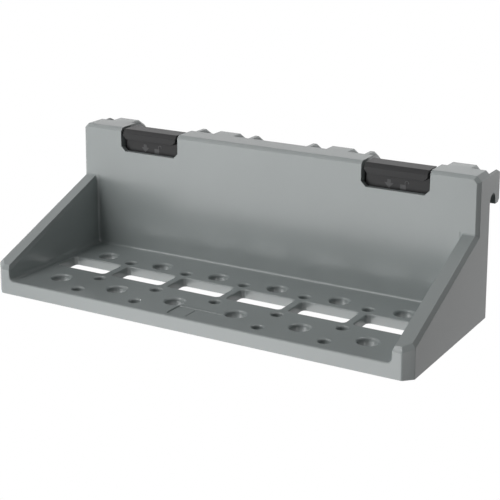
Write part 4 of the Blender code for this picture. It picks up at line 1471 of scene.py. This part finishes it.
@dataclass
class RailLocks:
    """Both rail locks: slider, marks, retainer, springs and screws, modelled once and copied."""

    seat: LockSeat
    cap_bottom: float = 0.1176
    cap_top: float = 0.1268
    cap_half: float = 0.0288
    cap_chamfer: float = 0.0033
    panel_inset: float = 0.0053
    slider_back: float = 0.0047
    slider_bottom: float = 0.0880
    slider_wall: float = 0.0030
    ear_half: float = 0.0335
    ear_top: float = 0.0952
    ear_depth: float = 0.0060
    edge_round: float = 0.0004
    retainer_thickness: float = 0.0022
    retainer_corner: float = 0.0020
    retainer_top: float = 0.1217
    hole_radius: float = 0.0019
    travel: float = 0.0080
    round_steps: int = 3
    corner_steps: int = 5
    hole_sides: int = 32
    screw: PanScrew = PanScrew()
    spring: CoilSpring = CoilSpring()
    marks: LockMarks = LockMarks()
    face: float = field(init=False)
    back: float = field(init=False)

    def __post_init__(self) -> None:
        """Take the plate's places from the CAD nodes."""
        self.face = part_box("lock_slider_left")[0].y
        self.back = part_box("lock_retainer_left")[1].y + self.retainer_thickness

    @property
    def panel_face(self) -> float:
        """Where the panel's face is along Y."""
        return self.face + self.panel_inset

    def cap(self) -> Workpiece:
        """Model the thumb cap, chamfered along its front top edge and its lower side edges.

        Returns:
            The cap, about x = 0.
        """
        bottom, top, half = self.cap_bottom, self.cap_top, self.cap_half
        high = (half, self.back - self.slider_back, top)
        cap = Workpiece.block("lock_slider", (-half, self.face, bottom), high)
        cap.pick(Pick.EDGES, both(lambda p: near(p.y, self.face) and near(p.z, top)))
        cap.bevel(self.cap_chamfer)
        cap.pick(Pick.EDGES, level(bottom, X)).bevel(self.cap_chamfer)
        return cap.clean()

    def slider(self) -> Workpiece:
        """Model the slider: cap, panel, hollow back, stop ears and spring pegs.

        Returns:
            The slider, about x = 0.
        """
        half, rear, front = self.cap_half, self.back - self.slider_back, self.panel_face
        low, seat = self.slider_bottom, self.seat
        slider = self.cap()
        high = (half, rear, self.cap_bottom + OVERRUN)
        slider.weld(Workpiece.block("lock_panel", (-half, front, low), high))
        high = (self.ear_half, front + self.ear_depth, self.ear_top)
        slider.weld(Workpiece.block("stop_ears", (-self.ear_half, front, low), high))
        inner, wall = half - self.slider_wall, self.slider_wall
        high = (inner, rear + OVERRUN, self.cap_bottom)
        slider.cut(Workpiece.block("panel_hollow", (-inner, front + wall, low + wall), high))
        for side in Side:
            foot = (side.value * seat.peg_spacing / 2, seat.peg_row(self.back), low)
            slider.weld(seat.peg("slider_peg", foot, -1))
        return slider.clean().soften(self.edge_round, self.round_steps)

    def retainer(self) -> Workpiece:
        """Model the plate that closes the pocket behind the slider.

        Returns:
            The retainer, about x = 0.
        """
        seat, rear = self.seat, self.back - self.retainer_thickness
        front = rear - self.retainer_thickness
        narrow = seat.notch_half - GAP
        low, high = (-seat.flange_half, front, seat.flange_bottom), (seat.flange_half, rear, seat.flange_top)
        plate = Workpiece.block("lock_retainer", low, high)
        low, high = (-narrow, front, seat.flange_bottom + OVERRUN), (narrow, rear, self.retainer_top)
        plate.weld(Workpiece.block("retainer_tongue", low, high))
        plate.clean()

        def corner(a: Vector, b: Vector) -> bool:
            """Whether an edge runs through the plate at one of its outer corners."""
            outer = near(abs(a.x), seat.flange_half) or near(a.z, self.retainer_top)
            return abs(a.y - b.y) > TOUCH and outer

        plate.pick(Pick.EDGES, corner).bevel(self.retainer_corner, self.corner_steps)
        depth = 2 * OVERRUN + self.retainer_thickness
        for side in Side:
            middle = (side.value * seat.screw_spacing / 2, (front + rear) / 2, seat.screw_height)
            hole = Workpiece.rod("retainer_hole", middle, self.hole_radius, depth, self.hole_sides, LYING)
            plate.cut(hole)
        return plate.soften(self.edge_round / 2)

    def build(self, plastic: Finish, mark: Finish, wire: Finish, zinc: Finish) -> None:
        """Model the lock's pieces, copy them to both sides and finish them.

        Args:
            plastic: The dark plastic of sliders and retainers.
            mark: The lighter plastic of the marks.
            wire: The springs' steel.
            zinc: The screws' plating.
        """
        seat, back = self.seat, self.back
        slider, retainer = self.slider(), self.retainer()
        screw, spring = self.screw.build(), self.spring.build()
        arrow, padlock = self.marks.arrow(self.panel_face), self.marks.padlock(self.panel_face)
        for side in Side:
            name, centre = side.name.lower(), side.value * seat.place
            rider = f"slider_{name}"
            for model, part, body, finish in (
                (slider, "lock_slider", rider, plastic),
                (arrow, "lock_mark_arrow", rider, mark),
                (padlock, "lock_mark_padlock", rider, mark),
                (retainer, "lock_retainer", "rack", plastic),
            ):
                piece = model.copy(f"{part}_{name}_dressed", (centre, 0, 0))
                piece.finish(finish, body, "lock_plastic", [] if finish is mark else [f"{part}_{name}"])
            for mate in Side:
                which = f"{name}_{'outer' if mate is side else 'inner'}"
                x = centre + mate.value * seat.peg_spacing / 2
                place = (x, seat.peg_row(back), seat.floor + GAP / 2)
                coil = spring.copy(f"lock_spring_{which}_dressed", place)
                coil.finish(wire, "rack", "spring_steel", [f"lock_spring_{which}"], self.spring.sharp)
                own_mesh(coil.item)
                x = centre + mate.value * seat.screw_spacing / 2
                place = (x, back - self.retainer_thickness + GAP, seat.screw_height)
                pan = screw.copy(f"lock_screw_{which}_dressed", place)
                pan.finish(zinc, "rack", "screw_steel", [f"lock_screw_{which}"], self.screw.sharp)
        for model in (slider, retainer, screw, spring, arrow, padlock):
            model.close()
            bpy.data.objects.remove(model.item, do_unlink=True)


@dataclass(frozen=True)
class Lamp:
    """A soft lamp aimed at the rack, placed by its bearing in degrees from the front.

    It is square, or a strip where it has a height; the roll turns a strip about its own axis.
    """

    name: str
    azimuth: float
    elevation: float
    distance: float
    size: float
    power: float
    height: float = 0.0
    roll: float = 0.0
    aim_height: float = 0.06

    def light(self) -> None:
        """Hang the lamp."""
        bearing, rise = math.radians(self.azimuth), math.radians(self.elevation)
        out = math.cos(rise)
        reach = Vector((math.sin(bearing) * out, -math.cos(bearing) * out, math.sin(rise)))
        data = bpy.data.lights.new(self.name, "AREA")
        data.size, data.energy = self.size, self.power
        if self.height:
            data.shape, data.size_y = "RECTANGLE", self.height
        item = bpy.data.objects.new(self.name, data)
        bpy.context.scene.collection.objects.link(item)
        item.location = reach * self.distance + Vector((0, 0, self.aim_height))
        turn = (-reach).to_track_quat("-Z", "Y") @ Quaternion((0, 0, 1), math.radians(self.roll))
        item.rotation_euler = turn.to_euler()


@dataclass
class Studio:
    """A white surround, soft lamps and the camera."""

    world_level: float = 0.01
    camera_place: Point = (0.54474, -0.92677, 0.39656)
    camera_turn: Point = (71.9607, -0.1180, 30.0372)
    lens: float = 94.35
    sensor: float = 36.0
    lamps: tuple[Lamp, ...] = (
        Lamp("front_lamp", -25, 5, 2.2, 1.2, 9.0),
        Lamp("front_low_lamp", -24, -16, 2.2, 1.2, 8.5),
        Lamp("front_under_lamp", -25, -34, 2.2, 1.4, 11.0),
        Lamp("side_lamp", -50, -3, 2.2, 1.2, 4.5),
        Lamp("high_lamp", -48, 53, 2.2, 1.3, 13.5, 0.55, 38),
        Lamp("post_lamp", -21, 39, 2.2, 0.25, 2.6),
        Lamp("fill_lamp", 14, -4, 2.2, 1.0, 1.5),
        Lamp("glint_lamp", 61, -15, 2.2, 0.35, 2.3),
        Lamp("rear_left_lamp", -120, 20, 2.2, 0.7, 8.0),
        Lamp("rear_right_lamp", 150, 0, 2.2, 0.7, 1.0),
        Lamp("near_rear_lamp", 118, 50, 0.40, 0.15, 0.20),
    )

    def surround(self) -> None:
        """Set the world: white to the camera and in reflections, and a soft level light otherwise."""
        world = bpy.data.worlds.new("studio_surround")
        bpy.context.scene.world = world
        world.use_nodes = True
        tree = world.node_tree
        soft, white = tree.nodes["Background"], tree.nodes.new("ShaderNodeBackground")
        soft.inputs["Strength"].default_value = self.world_level
        for shade in (soft, white):
            shade.inputs["Color"].default_value = (1, 1, 1, 1)
        path = tree.nodes.new("ShaderNodeLightPath")
        shown = path.outputs["Is Camera Ray"]
        for kind in ("Is Glossy Ray", "Is Transmission Ray"):
            either = tree.nodes.new("ShaderNodeMath")
            either.operation = "MAXIMUM"
            tree.links.new(shown, either.inputs[0])
            tree.links.new(path.outputs[kind], either.inputs[1])
            shown = either.outputs["Value"]
        mix = tree.nodes.new("ShaderNodeMixShader")
        tree.links.new(shown, mix.inputs["Fac"])
        tree.links.new(soft.outputs[0], mix.inputs[1])
        tree.links.new(white.outputs[0], mix.inputs[2])
        tree.links.new(mix.outputs[0], tree.nodes["World Output"].inputs["Surface"])

    def camera(self) -> None:
        """Set the camera at the photograph's place."""
        data = bpy.data.cameras.new("studio_camera")
        data.sensor_width, data.lens = self.sensor, self.lens
        item = bpy.data.objects.new("studio_camera", data)
        bpy.context.scene.collection.objects.link(item)
        item.location = self.camera_place
        item.rotation_euler = [math.radians(angle) for angle in self.camera_turn]
        bpy.context.scene.camera = item

    def build(self) -> None:
        """Set up the whole studio."""
        self.surround()
        self.camera()
        for lamp in self.lamps:
            lamp.light()
        bpy.context.scene.view_settings.view_transform = "Standard"


def main() -> None:
    """Build every piece round the CAD frame."""
    logging.basicConfig(level=logging.INFO, format="%(name)s: %(message)s")
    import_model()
    grey = MouldedPlastic("moulded_grey_plastic", BODY_GREY).make()
    dark = MouldedPlastic(
        "moulded_dark_plastic", LOCK_BLACK, specular=DARK_SPECULAR, roughness=DARK_ROUGHNESS
    ).make()
    pale = MouldedPlastic("moulded_mark_plastic", MARK_GREY, specular=DARK_SPECULAR).make()
    wire = WorkedSteel("drawn_spring_steel", WIRE_STEEL).make()
    zinc = WorkedSteel("zinc_plated_steel", ZINC_STEEL).make()
    moulding = RackMoulding()
    moulding.build(grey)
    RailLocks(moulding.lock).build(dark, pale, wire, zinc)
    Studio().build()


if __name__ == "__main__":
    main()
